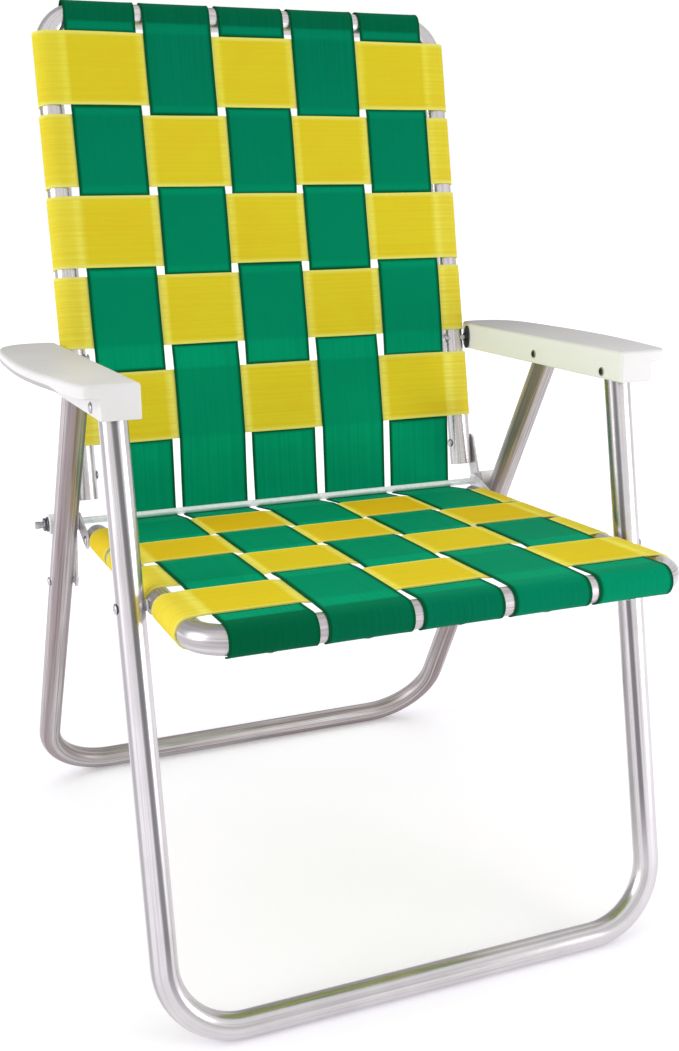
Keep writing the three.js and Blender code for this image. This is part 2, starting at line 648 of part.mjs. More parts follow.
// The arm's flanged spacer clears the webs on both sides of it
const flangeX = backX(rowBelowArm) + BACK_WRAP + WEB_THICKNESS / 2 + GAP;

// Pieces that come in pairs
for (const [word, side] of [
  ["left", 1],
  ["right", -1],
]) {
  put("arms", word + "_arm", arm(side), whitePlastic);
  put("links", word + "_link", link(side), aluminium);

  const seatPlate = strap(hinge, seatRivetPoint, PLATE_RADIUS, ROD_HOLE_RADIUS, HOLE_RADIUS);
  put("seat", word + "_seat_hinge_plate", sidePlate(seatPlate, hinge, side, seatPlateX, PLATE_THICKNESS), steel);
  const backPlate = strap(hinge, backRivetPoint, PLATE_RADIUS, ROD_HOLE_RADIUS, HOLE_RADIUS);
  put("back", word + "_back_hinge_plate", sidePlate(backPlate, hinge, side, backPlateX, PLATE_THICKNESS), steel);

  const bushStart = linkX + PLATE_THICKNESS + GAP;
  put("back", word + "_stop_bush", sleeve(hinge, side, bushStart, bushEnd, BUSH_RADIUS, ROD_HOLE_RADIUS), whitePlastic);
  const washerEnd = washerX + WASHER_THICKNESS;
  put("back", word + "_rod_washer", sleeve(hinge, side, washerX, washerEnd, WASHER_RADIUS, ROD_HOLE_RADIUS), steel);
  put("back", word + "_rod_nut", sidePlate(nutShape, hinge, side, nutX, NUT_HEIGHT), steel);

  const legInner = frontLegX - TUBE_RADIUS;
  const legOuter = frontLegX + TUBE_RADIUS;
  const seatInner = seatX - TUBE_RADIUS;
  const seatOuter = seatX + TUBE_RADIUS;
  put("front_legs", word + "_seat_pivot_rivet", rivet(seatPivot, side, seatInner, legOuter), steel);
  const seatSpacer = sleeve(seatPivot, side, seatOuter + GAP, legInner - GAP, SPACER_RADIUS, HOLE_RADIUS);
  put("seat", word + "_seat_pivot_spacer", seatSpacer, whitePlastic);
  const seatPlateOuter = seatPlateX + PLATE_THICKNESS;
  put("seat", word + "_seat_plate_rivet", rivet(seatRivetPoint, side, seatInner, seatPlateOuter), steel);
  const backRivetInner = backX(BACK_PLATE_REACH) - TUBE_RADIUS;
  const backPlateOuter = backPlateX + PLATE_THICKNESS;
  put("back", word + "_back_plate_rivet", rivet(backRivetPoint, side, backRivetInner, backPlateOuter), steel);

  const frontReach = reachOf(armFrontPivot);
  const frontRivet = rivet(armFrontPivot, side, innerFace(frontReach), outerFace(frontReach));
  put("arms", word + "_arm_front_rivet", frontRivet, steel);
  const rearRivet = rivet(armRearPivot, side, innerFace(rearReach), outerFace(rearReach));
  put("arms", word + "_arm_rear_rivet", rearRivet, steel);
  const backInner = backX(ARM_RISE) - TUBE_RADIUS;
  const backOuter = backX(ARM_RISE) + TUBE_RADIUS;
  const armWallEnd = innerFace(0) + ARM_WALL + headTilt;
  put("back", word + "_arm_back_rivet", rivet(armBackPivot, side, backInner, armWallEnd), steel);
  const armSpacer = flangedSleeve(armBackPivot, side, backOuter + GAP, flangeX, innerFace(FLANGE_RADIUS) - GAP);
  put("arms", word + "_arm_back_spacer", armSpacer, darkPlastic);

  const linkLegX = rearLegX(linkDrop);
  const linkHead = linkLegX - TUBE_RADIUS - linkX - PLATE_THICKNESS - 2 * GAP;
  const linkRivet = rivet(linkPivot, side, linkLegX - TUBE_RADIUS, linkLegX + TUBE_RADIUS, linkHead);
  put("rear_legs", word + "_link_rivet", linkRivet, steel);
}

// The origin lies on the floor under the middle of the whole chair
const middle = new THREE.Box3().setFromObject(chair).getCenter(new THREE.Vector3());
for (const body of Object.values(bodies)) body.position.y = -middle.y;

export default chair;
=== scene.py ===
# %% [markdown]
# # A folding lawn chair, dressed for a photograph
# The CAD frame holds every tube, web and rivet in its right place. This lesson gives those
# solids their looks: round polished tube, ribbed webbing, moulded arms and small hardware.
# Everything is in metres, the chair faces -Y, and left means the sitter's left, at +X.

# %% Load the frame
import json
import math
import bmesh
import bpy
import numpy as np
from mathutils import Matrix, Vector


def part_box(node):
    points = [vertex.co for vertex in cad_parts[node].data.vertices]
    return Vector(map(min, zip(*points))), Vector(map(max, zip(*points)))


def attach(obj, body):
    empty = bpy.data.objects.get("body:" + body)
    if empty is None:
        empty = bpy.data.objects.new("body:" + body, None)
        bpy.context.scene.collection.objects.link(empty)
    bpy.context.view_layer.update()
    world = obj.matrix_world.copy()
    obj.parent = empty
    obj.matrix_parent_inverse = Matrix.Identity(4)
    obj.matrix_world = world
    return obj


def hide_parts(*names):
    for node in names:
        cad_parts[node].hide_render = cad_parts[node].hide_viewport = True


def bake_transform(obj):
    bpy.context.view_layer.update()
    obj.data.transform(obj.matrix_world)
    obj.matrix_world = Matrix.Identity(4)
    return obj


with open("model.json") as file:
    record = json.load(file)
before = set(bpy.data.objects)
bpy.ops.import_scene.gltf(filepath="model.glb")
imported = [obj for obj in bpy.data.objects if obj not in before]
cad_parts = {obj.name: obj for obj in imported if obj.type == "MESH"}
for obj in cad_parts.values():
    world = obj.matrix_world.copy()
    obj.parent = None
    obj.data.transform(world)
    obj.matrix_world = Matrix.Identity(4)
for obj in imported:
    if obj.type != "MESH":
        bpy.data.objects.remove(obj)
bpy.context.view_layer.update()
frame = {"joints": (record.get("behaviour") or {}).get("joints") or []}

# %% [markdown]
# The pivots of the CAD joints fix the whole side view. They could be typed in here again, but
# reading them keeps this scene in step with the frame, so only sizes that no joint knows are
# written down.

# %% Side view of the chair
SEAT_PITCH = math.radians(3.4)
TUBE_RADIUS = 0.0127
TUBE_WALL = 0.0014
BAR_REACH = 0.291
BAR_HEIGHT = 0.01251


def pitched(angle):
    ahead = Vector((0, -math.cos(angle), math.sin(angle)))
    up = Vector((0, math.sin(angle), math.cos(angle)))
    return ahead, up


pivots = {joint["name"]: Vector(joint["pos_m"]) for joint in frame["joints"]}
hinge = pivots["seat_fold"]
seat_pivot = pivots["front_leg_fold"]
arm_back_pivot = pivots["arm_fold"]
arm_rear_pivot = pivots["rear_leg_fold"]
arm_front_pivot = seat_pivot + (arm_back_pivot - hinge)
across = Vector((1, 0, 0))
lean_up = (arm_back_pivot - hinge).normalized()
back_front = Vector((0, -lean_up.z, lean_up.y))
seat_front, seat_up = pitched(SEAT_PITCH)
floor_middle_y = (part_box("front_leg_frame")[0].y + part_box("rear_leg_frame")[1].y) / 2
front_bar = Vector((0, floor_middle_y - BAR_REACH, BAR_HEIGHT))
rear_bar = Vector((0, floor_middle_y + BAR_REACH, BAR_HEIGHT))
rear_up = (arm_rear_pivot - rear_bar).normalized()
rear_length = (arm_rear_pivot - rear_bar).length
print("hinge", tuple(hinge), "lean", round(math.degrees(math.atan2(lean_up.y, lean_up.z)), 2))

# %% [markdown]
# Most pieces here are lofts: a row of rings, each with the same number of points, skinned with
# four-sided faces. A helper that turns rings into a mesh is shorter and steadier than many
# modelling operators, and each ring can carry numbers that the materials read later. A second
# helper gives a piece its finish, hangs it on an empty for the body that it rides on, and hides
# the CAD parts that it stands for.

# %% Helper for lofted meshes
def put(name, data):
    placed = bpy.data.objects.new(name, data)
    bpy.context.scene.collection.objects.link(placed)
    return placed


def new_piece(name, verts, faces, smooth_angle):
    mesh = bpy.data.meshes.new(name)
    mesh.from_pydata([tuple(v) for v in verts], [], faces)
    mesh.validate()
    mesh.shade_smooth()
    mesh.set_sharp_from_angle(angle=math.radians(smooth_angle))
    return put(name, mesh)


def ring_faces(rows, count, first=0):
    faces = []
    for row in range(rows - 1):
        low = first + row * count
        high = low + count
        for j in range(count):
            k = (j + 1) % count
            faces.append((low + j, low + k, high + k, high + j))
    last = first + (rows - 1) * count
    faces.append(tuple(first + j for j in range(count - 1, -1, -1)))
    faces.append(tuple(last + j for j in range(count)))
    return faces


def loft(name, rings, smooth_angle=40):
    rings = np.asarray(rings, float)
    rows, count, _ = rings.shape
    return new_piece(name, rings.reshape(-1, 3), ring_faces(rows, count), smooth_angle)


def circle(sides):
    return [2 * math.pi * j / sides for j in range(sides)]


def store(piece, name, values, domain="POINT"):
    layer = piece.data.attributes.new(name, "FLOAT", domain)
    layer.data.foreach_set("value", np.asarray(values, np.float32))


def dress(piece, finish, slot, body=None, *nodes):
    piece.data.materials.append(finish.material)
    if body:
        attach(piece, body)
    if nodes:
        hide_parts(*nodes)
    return piece


print("faces of a square bar", len(ring_faces(2, 4)))

# %% [markdown]
# Shader maths reads best as plain expressions. The first class below wraps one output socket, so
# `1 - mask * 0.5` adds the Math nodes by itself. Every other node comes from the `node` method
# of a finish, which takes the node's type, its settings and its inputs. `painted` lays one colour
# after another over a surface, as coats of paint.

# %% Helper for shader maths
class Signal:
    def __init__(self, finish, socket):
        self.finish = finish
        self.socket = socket

    def math(self, operation, *values):
        return self.finish.node("ShaderNodeMath", {"operation": operation}, dict(enumerate(values)))

    def __add__(self, other):
        return self.math("ADD", self, other)

    def __radd__(self, other):
        return self.math("ADD", other, self)

    def __sub__(self, other):
        return self.math("SUBTRACT", self, other)

    def __rsub__(self, other):
        return self.math("SUBTRACT", other, self)

    def __mul__(self, other):
        return self.math("MULTIPLY", self, other)

    def __rmul__(self, other):
        return self.math("MULTIPLY", other, self)

    def sine(self):
        return self.math("SINE", self)

    def size(self):
        return self.math("ABSOLUTE", self)

    def larger(self, other):
        return self.math("MAXIMUM", self, other)

    def ease(self, low, high):
        settings = {"interpolation_type": "SMOOTHSTEP"}
        return self.finish.node("ShaderNodeMapRange", settings, {0: self, 1: low, 2: high, 3: 0, 4: 1})

    def beside(self, output):
        return Signal(self.finish, self.socket.node.outputs[output])


# %% Helper for finishes
class Finish:
    def __init__(self, name, tree=None):
        if tree is None:
            self.material = bpy.data.materials.new(name)
            self.material.use_nodes = True
            tree = self.material.node_tree
        self.tree = tree
        self.shader = tree.nodes.get("Principled BSDF")

    def node(self, kind, settings=None, inputs=None, output=0):
        made = self.tree.nodes.new(kind)
        for key, value in (settings or {}).items():
            setattr(made, key, value)
        for key, value in (inputs or {}).items():
            self.feed(made.inputs[key], value)
        return Signal(self, made.outputs[output])

    def feed(self, socket, value):
        if isinstance(value, Signal):
            self.tree.links.new(value.socket, socket)
        elif socket.type == "RGBA" and len(value) == 3:
            socket.default_value = (*value, 1)
        else:
            socket.default_value = value

    def set(self, **values):
        for key, value in values.items():
            self.feed(self.shader.inputs[key.replace("_", " ")], value)

    def place(self):
        return self.node("ShaderNodeTexCoord", output="Object")

    def stretched(self, scale):
        return self.node("ShaderNodeMapping", None, {"Vector": self.place(), "Scale": scale})

    def reading(self, name):
        return self.node("ShaderNodeAttribute", {"attribute_name": name}, output="Fac")

    def noise(self, scale, detail, roughness, at=None):
        vector = at or self.place()
        inputs = {"Vector": vector, "Scale": scale, "Detail": detail, "Roughness": roughness}
        return self.node("ShaderNodeTexNoise", None, inputs, output="Fac")

    def mix(self, amount, first, second):
        inputs = {0: amount, 6: first, 7: second}
        return self.node("ShaderNodeMix", {"data_type": "RGBA"}, inputs, output=2)

    def painted(self, colour, *coats):
        for amount, coat in coats:
            colour = self.mix(amount, colour, coat)
        return colour

    def bump(self, height, strength, distance):
        inputs = {"Height": height, "Strength": strength, "Distance": distance}
        self.set(Normal=self.node("ShaderNodeBump", None, inputs))


BLACK = (0, 0, 0)


def srgb(red, green, blue):
    def linear(value):
        value = value / 255
        return value / 12.92 if value <= 0.04045 else ((value + 0.055) / 1.055) ** 2.4

    return (linear(red), linear(green), linear(blue))


print("mid grey as light", round(srgb(128, 128, 128)[0], 3))

# %% [markdown]
# The frame is one-inch aluminium tube, rolled from strip, welded lengthwise and buffed. A dull grey
# line that twists slowly along the tube is a painted reflection, two fainter painted reflection lines
# run near its edges, and buffing leaves long pale streaks. Brownish streaks are weather wear and
# partly a painted reflection of the shaded floor and webs. Along a floor bar the lines fade. Each tube
# stores how far along it and where around it a point lies, and how much wear and painted reflection
# it carries, so that one finish serves all four. Plain object coordinates could not follow the bends.

# %% Polished tube
REFLECTION_TWIST = 0.646
REFLECTION_START = -0.159
FADE_START = 0.50
FADE_END = 1.20
FADE_LENGTH = 0.10
DULL = srgb(208, 204, 206)
BRIGHT = srgb(218, 215, 217)
GREY_STREAK = srgb(180, 174, 177)
EDGE_REFLECTION_GREY = srgb(146, 144, 146)
BROWN_STREAK = srgb(152, 138, 139)
BROWN_LINE = srgb(118, 103, 105)
TWISTING_REFLECTION_GREY = srgb(92, 90, 93)
tube_finish = Finish("polished_tube")
along = tube_finish.reading("along")
outward = tube_finish.reading("outward")
inward = tube_finish.reading("inward")
wear_and_reflection = tube_finish.reading("wear_and_reflection")


def tube_place(lengthwise, crosswise):
    inputs = {0: along * lengthwise, 1: outward * crosswise, 2: inward * crosswise}
    return tube_finish.node("ShaderNodeCombineXYZ", None, inputs)


# a fainter painted reflection line along the tube, at a fixed angle near its edge
def edge_reflection_line(angle, half):
    level = inward * math.sin(math.radians(angle)) - outward * math.cos(math.radians(angle))
    return level.ease(math.cos(math.radians(half)), math.cos(math.radians(half * 0.45)))


streaks = tube_finish.noise(1.0, 3.0, 0.55, tube_place(1.7, 1.5))
lines = tube_finish.noise(1.0, 4.0, 0.6, tube_place(5.0, 8.0))
patches = tube_finish.noise(18.0, 3.0, 0.55)
# painted reflection: a dull grey line that twists slowly along the tube
twist = along * REFLECTION_TWIST + REFLECTION_START
twisting_reflection = (inward * twist.sine() - outward * (twist + math.pi / 2).sine()).ease(0.962, 0.996)
fading = along.ease(FADE_START, FADE_START + FADE_LENGTH)
returning = along.ease(FADE_END - FADE_LENGTH, FADE_END)
# how strongly the painted reflection lines show: less on weather-worn tubes and along a floor bar
reflection_line_strength = (1 - wear_and_reflection) * (1 - fading * (1 - returning) * 0.75)
tube_colour = tube_finish.painted(
    tube_finish.mix(patches.ease(0.35, 0.75), DULL, BRIGHT),
    (lines.ease(0.48, 0.68) * 0.65, GREY_STREAK),
    # two painted reflection lines near the tube's edges
    ((edge_reflection_line(86, 20) + edge_reflection_line(-69, 17)) * reflection_line_strength * 0.7, EDGE_REFLECTION_GREY),
    # brownish streaks: weather wear and partly a painted reflection of the shaded floor and webs
    (wear_and_reflection * (0.22 + streaks.ease(0.38, 0.58) * 0.78), BROWN_STREAK),
    (wear_and_reflection * lines.ease(0.48, 0.6) * 0.6, BROWN_LINE),
    # the twisting painted reflection line
    (twisting_reflection * reflection_line_strength * 0.85, TWISTING_REFLECTION_GREY),
)
tube_finish.set(Base_Color=tube_colour, Metallic=0.9 - wear_and_reflection * 0.3)
tube_finish.set(Roughness=0.16 + lines * 0.1 + patches * 0.06 + wear_and_reflection * 0.2)
tube_finish.bump(lines, 0.05, 0.0004)
print("finish", tube_finish.material.name)

# %% [markdown]
# A bent tube follows straight runs and round corners. A curve with a round bevel would draw it
# too, but rings can store where each point lies. The route puts rings close together round each
# bend and far apart between bends. Each end turns in to the bore, so that an open end shows a wall
# and a dark inside.

# %% Routes and tubes
BEND_STEPS = 14
RING_SPACING = 0.03
MOUTH_DEPTH = 0.03
TUBE_SIDES = 40


def bent_route(corners, bend):
    points = [corners[0]]
    for before, corner, after in zip(corners, corners[1:], corners[2:]):
        back = (before - corner).normalized()
        ahead = (after - corner).normalized()
        half = back.angle(ahead) / 2
        centre = corner + (back + ahead).normalized() * (bend / math.sin(half))
        start = corner + back * (bend / math.tan(half)) - centre
        axis = ahead.cross(back).normalized()
        for i in range(BEND_STEPS + 1):
            angle = (math.pi - 2 * half) * i / BEND_STEPS
            swung = start * math.cos(angle) + axis.cross(start) * math.sin(angle)
            points.append(centre + swung)
    points.append(corners[-1])
    fine = [points[0]]
    for first, second in zip(points, points[1:]):
        pieces = max(1, int((second - first).length / RING_SPACING))
        fine += [first.lerp(second, (i + 1) / pieces) for i in range(pieces)]
    return fine


def bent_tube(name, corners, bend, plane_normal, wear_and_reflection_share):
    route = bent_route(corners, bend)
    bore = TUBE_RADIUS - TUBE_WALL
    runs = [(b - a).normalized() for a, b in zip(route, route[1:])]
    turns = [(a + b).normalized() for a, b in zip(runs, runs[1:])]
    tangents = [runs[0]] + turns + [runs[-1]]
    stations = [(route[0] + runs[0] * MOUTH_DEPTH, runs[0], bore), (route[0], runs[0], bore)]
    stations += [(point, tangent, TUBE_RADIUS) for point, tangent in zip(route, tangents)]
    stations += [(route[-1], runs[-1], bore), (route[-1] - runs[-1] * MOUTH_DEPTH, runs[-1], bore)]
    angles = circle(TUBE_SIDES)
    rings = []
    lengths = []
    travelled = 0.0
    before = stations[0][0]
    for point, tangent, radius in stations:
        travelled += (point - before).length
        before = point
        side = tangent.cross(plane_normal).normalized()
        ring = []
        for a in angles:
            ring.append(point + plane_normal * (radius * math.cos(a)) + side * (radius * math.sin(a)))
        rings.append(ring)
        lengths += [travelled] * TUBE_SIDES
    piece = loft(name, rings)
    store(piece, "along", lengths)
    store(piece, "outward", [math.cos(a) for a in angles] * len(rings))
    store(piece, "inward", [math.sin(a) for a in angles] * len(rings))
    store(piece, "wear_and_reflection", [wear_and_reflection_share] * len(lengths))
    return piece


print("tube", 2 * TUBE_RADIUS, "m across with", TUBE_SIDES, "sides")

# %% [markdown]
# Four bent tubes make the chair: front legs, rear legs, seat and back. Each is a U with a bar and
# two ends. The back and the rear legs splay a little, so the ends of those tubes are further apart
# or closer than their bars. Each could have a cell of its own, but only corners, bend, and wear with
# its painted reflection differ, so one loop makes all four. The rear legs are the most weather-worn
# and carry the most painted reflection.

# %% The four tube frames
LEG_TOP = 0.006
HINGE_RISE = 0.0135
BACK_SETBACK = 0.008
TUBE_START = 0.022
SEAT_LENGTH = 0.430
BACK_LENGTH = 0.539
FRONT_LEG_X = 0.254
REAR_LEG_X = 0.2583
REAR_SPLAY = 0.00845
SEAT_X = 0.226
BACK_X = 0.229
BACK_TAPER = 0.004
FRONT_BEND = 0.07
REAR_BEND = 0.08
SEAT_BEND = 0.034
BACK_BEND = 0.038
# weather wear per tube, which also sets its brownish painted reflection
WEAR_AND_REFLECTION = {"front_legs": 0.0, "rear_legs": 0.9, "seat": 0.3, "back": 0.12}
seat_line = hinge - seat_up * HINGE_RISE
back_line = hinge - back_front * BACK_SETBACK
front_top = (arm_front_pivot - front_bar).length + LEG_TOP
rear_top = rear_length + LEG_TOP


def rear_leg_x(drop):
    return REAR_LEG_X + REAR_SPLAY * drop / rear_length


def back_x(height):
    return BACK_X - BACK_TAPER * height / BACK_LENGTH


def u_corners(origin, direction, bar, end, end_x, bar_x):
    return [
        origin + direction * end - across * end_x,
        origin + direction * bar - across * bar_x,
        origin + direction * bar + across * bar_x,
        origin + direction * end + across * end_x,
    ]


front_corners = u_corners(front_bar, lean_up, 0, front_top, FRONT_LEG_X, FRONT_LEG_X)
rear_corners = u_corners(rear_bar, rear_up, 0, rear_top, rear_leg_x(-LEG_TOP), rear_leg_x(rear_length))
seat_corners = u_corners(seat_line, seat_front, SEAT_LENGTH, TUBE_START, SEAT_X, SEAT_X)
back_low_x = back_x(TUBE_START)
back_high_x = back_x(BACK_LENGTH)
back_corners = u_corners(back_line, lean_up, BACK_LENGTH, TUBE_START, back_low_x, back_high_x)
for name, corners, bend, plane_normal, body in (
    ("front_leg", front_corners, FRONT_BEND, -back_front, "front_legs"),
    ("rear_leg", rear_corners, REAR_BEND, across.cross(rear_up), "rear_legs"),
    ("seat", seat_corners, SEAT_BEND, seat_up, "seat"),
    ("back", back_corners, BACK_BEND, back_front, "back"),
):
    tube = bent_tube(f"{name}_tube", corners, bend, plane_normal, WEAR_AND_REFLECTION[body])
    dress(tube, tube_finish, "tube_aluminium", body, f"{name}_frame")

# %% [markdown]
# The webbing is three-inch woven plastic tape with fine ribs along it and a thicker edge. It lets
# some light through, so a web is painted deeper where another web or a tube lies behind it, and the
# seat is painted brighter, as if it glowed a little from the pale floor below. The seat rows near the
# hinge get a painted shade, green edges and dives get painted shade, yellow ones painted light, and
# the grooves of the weave a little painted shade. The mesh stores how far across and along the web a
# point lies, how much lies behind it, where it dives under another web, and how much painted seat light
# and painted shade it gets. Sines of the stored numbers give ribs that follow each web.

# %% Webbing finish
RIBS = 190.0
PICKS = 4200.0


def web_finish(name, deep, clear, seat, seat_clear, painted_shade_colour, edge, thread):
    finish = Finish(name)
    side = finish.reading("side")
    length = finish.reading("along")
    backing = finish.reading("backing")
    dive_shade_and_light = finish.reading("dive_shade_and_light").ease(0.1, 0.85)
    painted_seat_light = finish.reading("painted_seat_light")
    painted_shade = finish.reading("painted_shade")
    ribs = (side * RIBS).sine() * 0.5 + 0.5
    picks = (length * PICKS).sine() * 0.5 + 0.5
    weave = ribs * 0.7 + picks * 0.3
    cloud = finish.noise(16.0, 4.0, 0.6)
    streak_place = finish.node("ShaderNodeCombineXYZ", None, {0: side * 15.0, 1: length * 3.0, 2: 0.0})
    streaks = finish.noise(1.0, 5.0, 0.65, streak_place)
    selvedge = side.size().ease(0.87, 0.965)
    colour = finish.painted(
        # painted shade: deeper where another web or a tube lies behind, as less light comes through
        finish.mix(backing, clear, deep),
        # painted light: brighter on the seat, fading up the back and on the front wraps
        (painted_seat_light * 0.85, finish.mix(backing, seat_clear, seat)),
        # painted shade on the seat rows near the hinge
        (painted_shade * backing, painted_shade_colour),
        ((cloud * 0.3 + streaks * 0.7).ease(0.4, 0.64) * 0.5, thread),
        # painted shade on green and painted light on yellow at the thick edges and where a web dives under
        # another or wraps round a tube
        ((selvedge * 0.85).larger(dive_shade_and_light * 0.9), edge),
        # painted shade in the grooves between ribs and picks
        ((1 - weave) * 0.12, BLACK),
    )
    finish.set(Base_Color=colour, Roughness=0.55 + weave * 0.12 + streaks * 0.1)
    finish.set(Specular_IOR_Level=0.02)
    finish.bump(weave + selvedge * 0.8, 0.35, 0.0005)
    return finish


green_web = web_finish(
    "green_webbing",
    deep=srgb(0, 117, 82),
    clear=srgb(0, 130, 90),
    seat=srgb(0, 154, 107),
    seat_clear=srgb(0, 168, 118),
    painted_shade_colour=srgb(0, 117, 82),
    # painted shade for the edges and dives
    edge=srgb(0, 74, 34),
    thread=srgb(0, 136, 102),
)
yellow_web = web_finish(
    "yellow_webbing",
    deep=srgb(225, 208, 42),
    clear=srgb(236, 226, 68),
    seat=srgb(238, 220, 48),
    seat_clear=srgb(255, 247, 112),
    painted_shade_colour=srgb(236, 195, 25),
    # painted light for the edges and dives
    edge=srgb(240, 234, 118),
    thread=srgb(232, 196, 38),
)
print("finishes", green_web.material.name, yellow_web.material.name)

# %% [markdown]
# Each web is drawn as a line in the side view and then given its width. The line goes over one
# web and under the next, round the tube at its end, and for the long webs behind the hinge rod.
# A cloth simulation could find these lines, but tape pulled tight is known exactly. Corner
# cutting rounds every kink, as real tape does.

# %% Lines of the webs
WEB_WIDTH = 0.0762
WEB_THICKNESS = 0.001
WEB_PITCH = 0.0848
GAP = 0.0003
WEAVE_LIFT = (WEB_THICKNESS + GAP) / 2
FLAT = WEB_WIDTH / 2 + 0.0012
ROD_RADIUS = 0.004
ROD_WRAP = ROD_RADIUS + GAP + WEB_THICKNESS / 2
SEAT_WRAP = TUBE_RADIUS + GAP + WEB_THICKNESS / 2
BACK_SLACK = 0.0006
BACK_WRAP = SEAT_WRAP + BACK_SLACK
WRAP_ANGLE = math.radians(178)
WRAP_STEPS = 20
KINK = 0.002
STATION = 0.0035
COLUMN_X = [WEB_PITCH * i for i in (-2, -1, 0, 1, 2)]
BACK_ROWS = [0.4792, 0.3934, 0.3076, 0.2218, 0.119]
SEAT_ROWS = [0.086, 0.173, 0.26, 0.36]
back_web_plane = hinge + back_front * (BACK_WRAP - BACK_SETBACK)
seat_web_plane = hinge + seat_up * (SEAT_WRAP - HINGE_RISE)


def arc(centre, radius, start, end):
    angles = np.linspace(start, end, WRAP_STEPS + 1)
    return [np.array(centre) + radius * np.array([math.cos(a), math.sin(a)]) for a in angles]


def woven(places):
    points = []
    for place, over in places:
        lift = WEAVE_LIFT if over else -WEAVE_LIFT
        points += [np.array([place - FLAT, lift]), np.array([place + FLAT, lift])]
    return points


def rounded(points):
    for _ in range(2):
        cut = [points[0]]
        for first, second in zip(points, points[1:]):
            run = second - first
            near = min(0.25, KINK / max(np.linalg.norm(run), 1e-9))
            cut += [first + run * near, second - run * near]
        points = cut + [points[-1]]
    return points


def spaced(points):
    points = np.array(points)
    lengths = np.concatenate([[0], np.cumsum(np.linalg.norm(np.diff(points, axis=0), axis=1))])
    keep = np.concatenate([[True], np.diff(lengths) > 1e-7])
    points, lengths = points[keep], lengths[keep]
    count = max(2, int(lengths[-1] / STATION))
    places = np.linspace(0, lengths[-1], count + 1)
    return np.stack([np.interp(places, lengths, points[:, i]) for i in range(3)], 1), places


def in_side_view(origin, ahead, up, points):
    return [np.array(origin + ahead * p[0] + up * p[1]) for p in points]


def long_on_top(body, row, column):
    return (row + column) % 2 == (1 if body == "back" else 0)


print("weave of", len(COLUMN_X), "columns,", len(BACK_ROWS), "and", len(SEAT_ROWS), "rows")

# %% [markdown]
# A web is a thin closed strip. A plane with a Solidify modifier would do, but here its cross
# section is slightly cupped with thicker edges, and the edges wander by half a millimetre, because
# tape pulled tight by hand never runs dead straight.

# %% Strips
ACROSS_STEPS = 18
SELVEDGE = 0.28
WANDER = 0.0005
RIPPLE = 0.0003
SWELL = 0.004
CUP = 0.00012
READINGS = ("side", "along", "backing", "dive_shade_and_light", "painted_seat_light", "painted_shade")


def web_strip(name, line, width_direction, middle, reading, seed, front_first=True):
    line, places = spaced(line)
    tangents = np.gradient(line, axis=0)
    tangents /= np.linalg.norm(tangents, axis=1)[:, None]
    width_direction = np.array(width_direction)
    normals = np.cross(np.broadcast_to(width_direction, tangents.shape), tangents)
    wander = WANDER * np.sin(places * 11 + seed * 2.1) + RIPPLE * np.sin(places * 27 + seed)
    half = WEB_WIDTH / 2 * (1 + SWELL * np.sin(places * 17 + seed * 1.7))
    sides = np.linspace(-1, 1, ACROSS_STEPS + 1)
    cup = -CUP * sides**4
    thick = WEB_THICKNESS / 2 * (1 + SELVEDGE * np.abs(sides) ** 12)
    loop = np.concatenate([sides, sides[::-1]])
    height = np.concatenate([cup + thick, (cup - thick)[::-1]])
    rings = []
    readings = {key: [] for key in READINGS}
    for i, point in enumerate(line):
        centre = point + width_direction * (middle + wander[i])
        rings.append(centre + width_direction * (loop * half[i])[:, None] + normals[i] * height[:, None])
        backing, dive_front, dive_rear, painted_seat_light, painted_shade = reading(Vector(point))
        first, second = (dive_front, dive_rear) if front_first else (dive_rear, dive_front)
        readings["side"] += list(loop)
        readings["dive_shade_and_light"] += [first] * len(sides) + [second] * len(sides)
        even = {"along": places[i], "backing": backing, "painted_seat_light": painted_seat_light, "painted_shade": painted_shade}
        for key, value in even.items():
            readings[key] += [value] * len(loop)
    strip = loft(name, rings, smooth_angle=60)
    for key, values in readings.items():
        store(strip, key, values)
    return strip, places[-1]


print("edge of a web", round(WEB_THICKNESS * (1 + SELVEDGE), 5), "m thick")

# %% [markdown]
# What a point of a web shows depends on its neighbours. These helpers say how far a point is
# covered by a crossing web, how close it is to diving under one, and how much of the seat's glow
# reaches up the back, and the finish paints light and shade from these. They work in the same side
# view as the lines, so nothing is painted by hand.

# %% Readings along a web
SOFT_EDGE = 0.0015
DIVE_REACH = 0.0048
LOW_GLOW = 1.3
MOST_GLOW = 1.1


def share(value):
    return float(np.clip(value, 0, 1))


def covered(value, centres):
    nearest = min(abs(value - centre) for centre in centres)
    return share((WEB_WIDTH / 2 + SOFT_EDGE - nearest) / (2 * SOFT_EDGE))


def diving(value, crossings, side):
    gaps = [abs(value - place) - WEB_WIDTH / 2 for place, over in crossings if over == side]
    return share(1 - min(gaps) / DIVE_REACH) if gaps else 0.0


def near_seat(height):
    return float(np.clip(LOW_GLOW * (1 - height / BACK_LENGTH), 0, MOST_GLOW))


print("glow half way up the back", round(near_seat(BACK_LENGTH / 2), 3))

# %% [markdown]
# The five green webs run the whole way: from behind the top of the back, down the front of it,
# behind the rod and forward to the underside of the seat's front tube. Two strips a column would be
# simpler, but the real tape is one length, and it crosses the hinge. The wraps at the front carry a
# painted shade that lightens towards the sitter's left.

# %% Lines of the long webs
ROD_STEPS = 12


def long_half(rod_depth, end, wrap, places):
    points = woven(places)
    centre = np.array([0.0, -rod_depth])
    to_rod = points[0] - centre
    touch = math.atan2(to_rod[1], to_rod[0]) - math.acos(ROD_WRAP / np.linalg.norm(to_rod))
    tangent = centre + ROD_WRAP * np.array([math.cos(touch), math.sin(touch)])
    far = arc((end, -wrap), wrap, math.pi / 2, math.pi / 2 - WRAP_ANGLE)
    return [tangent] + rounded(points) + far


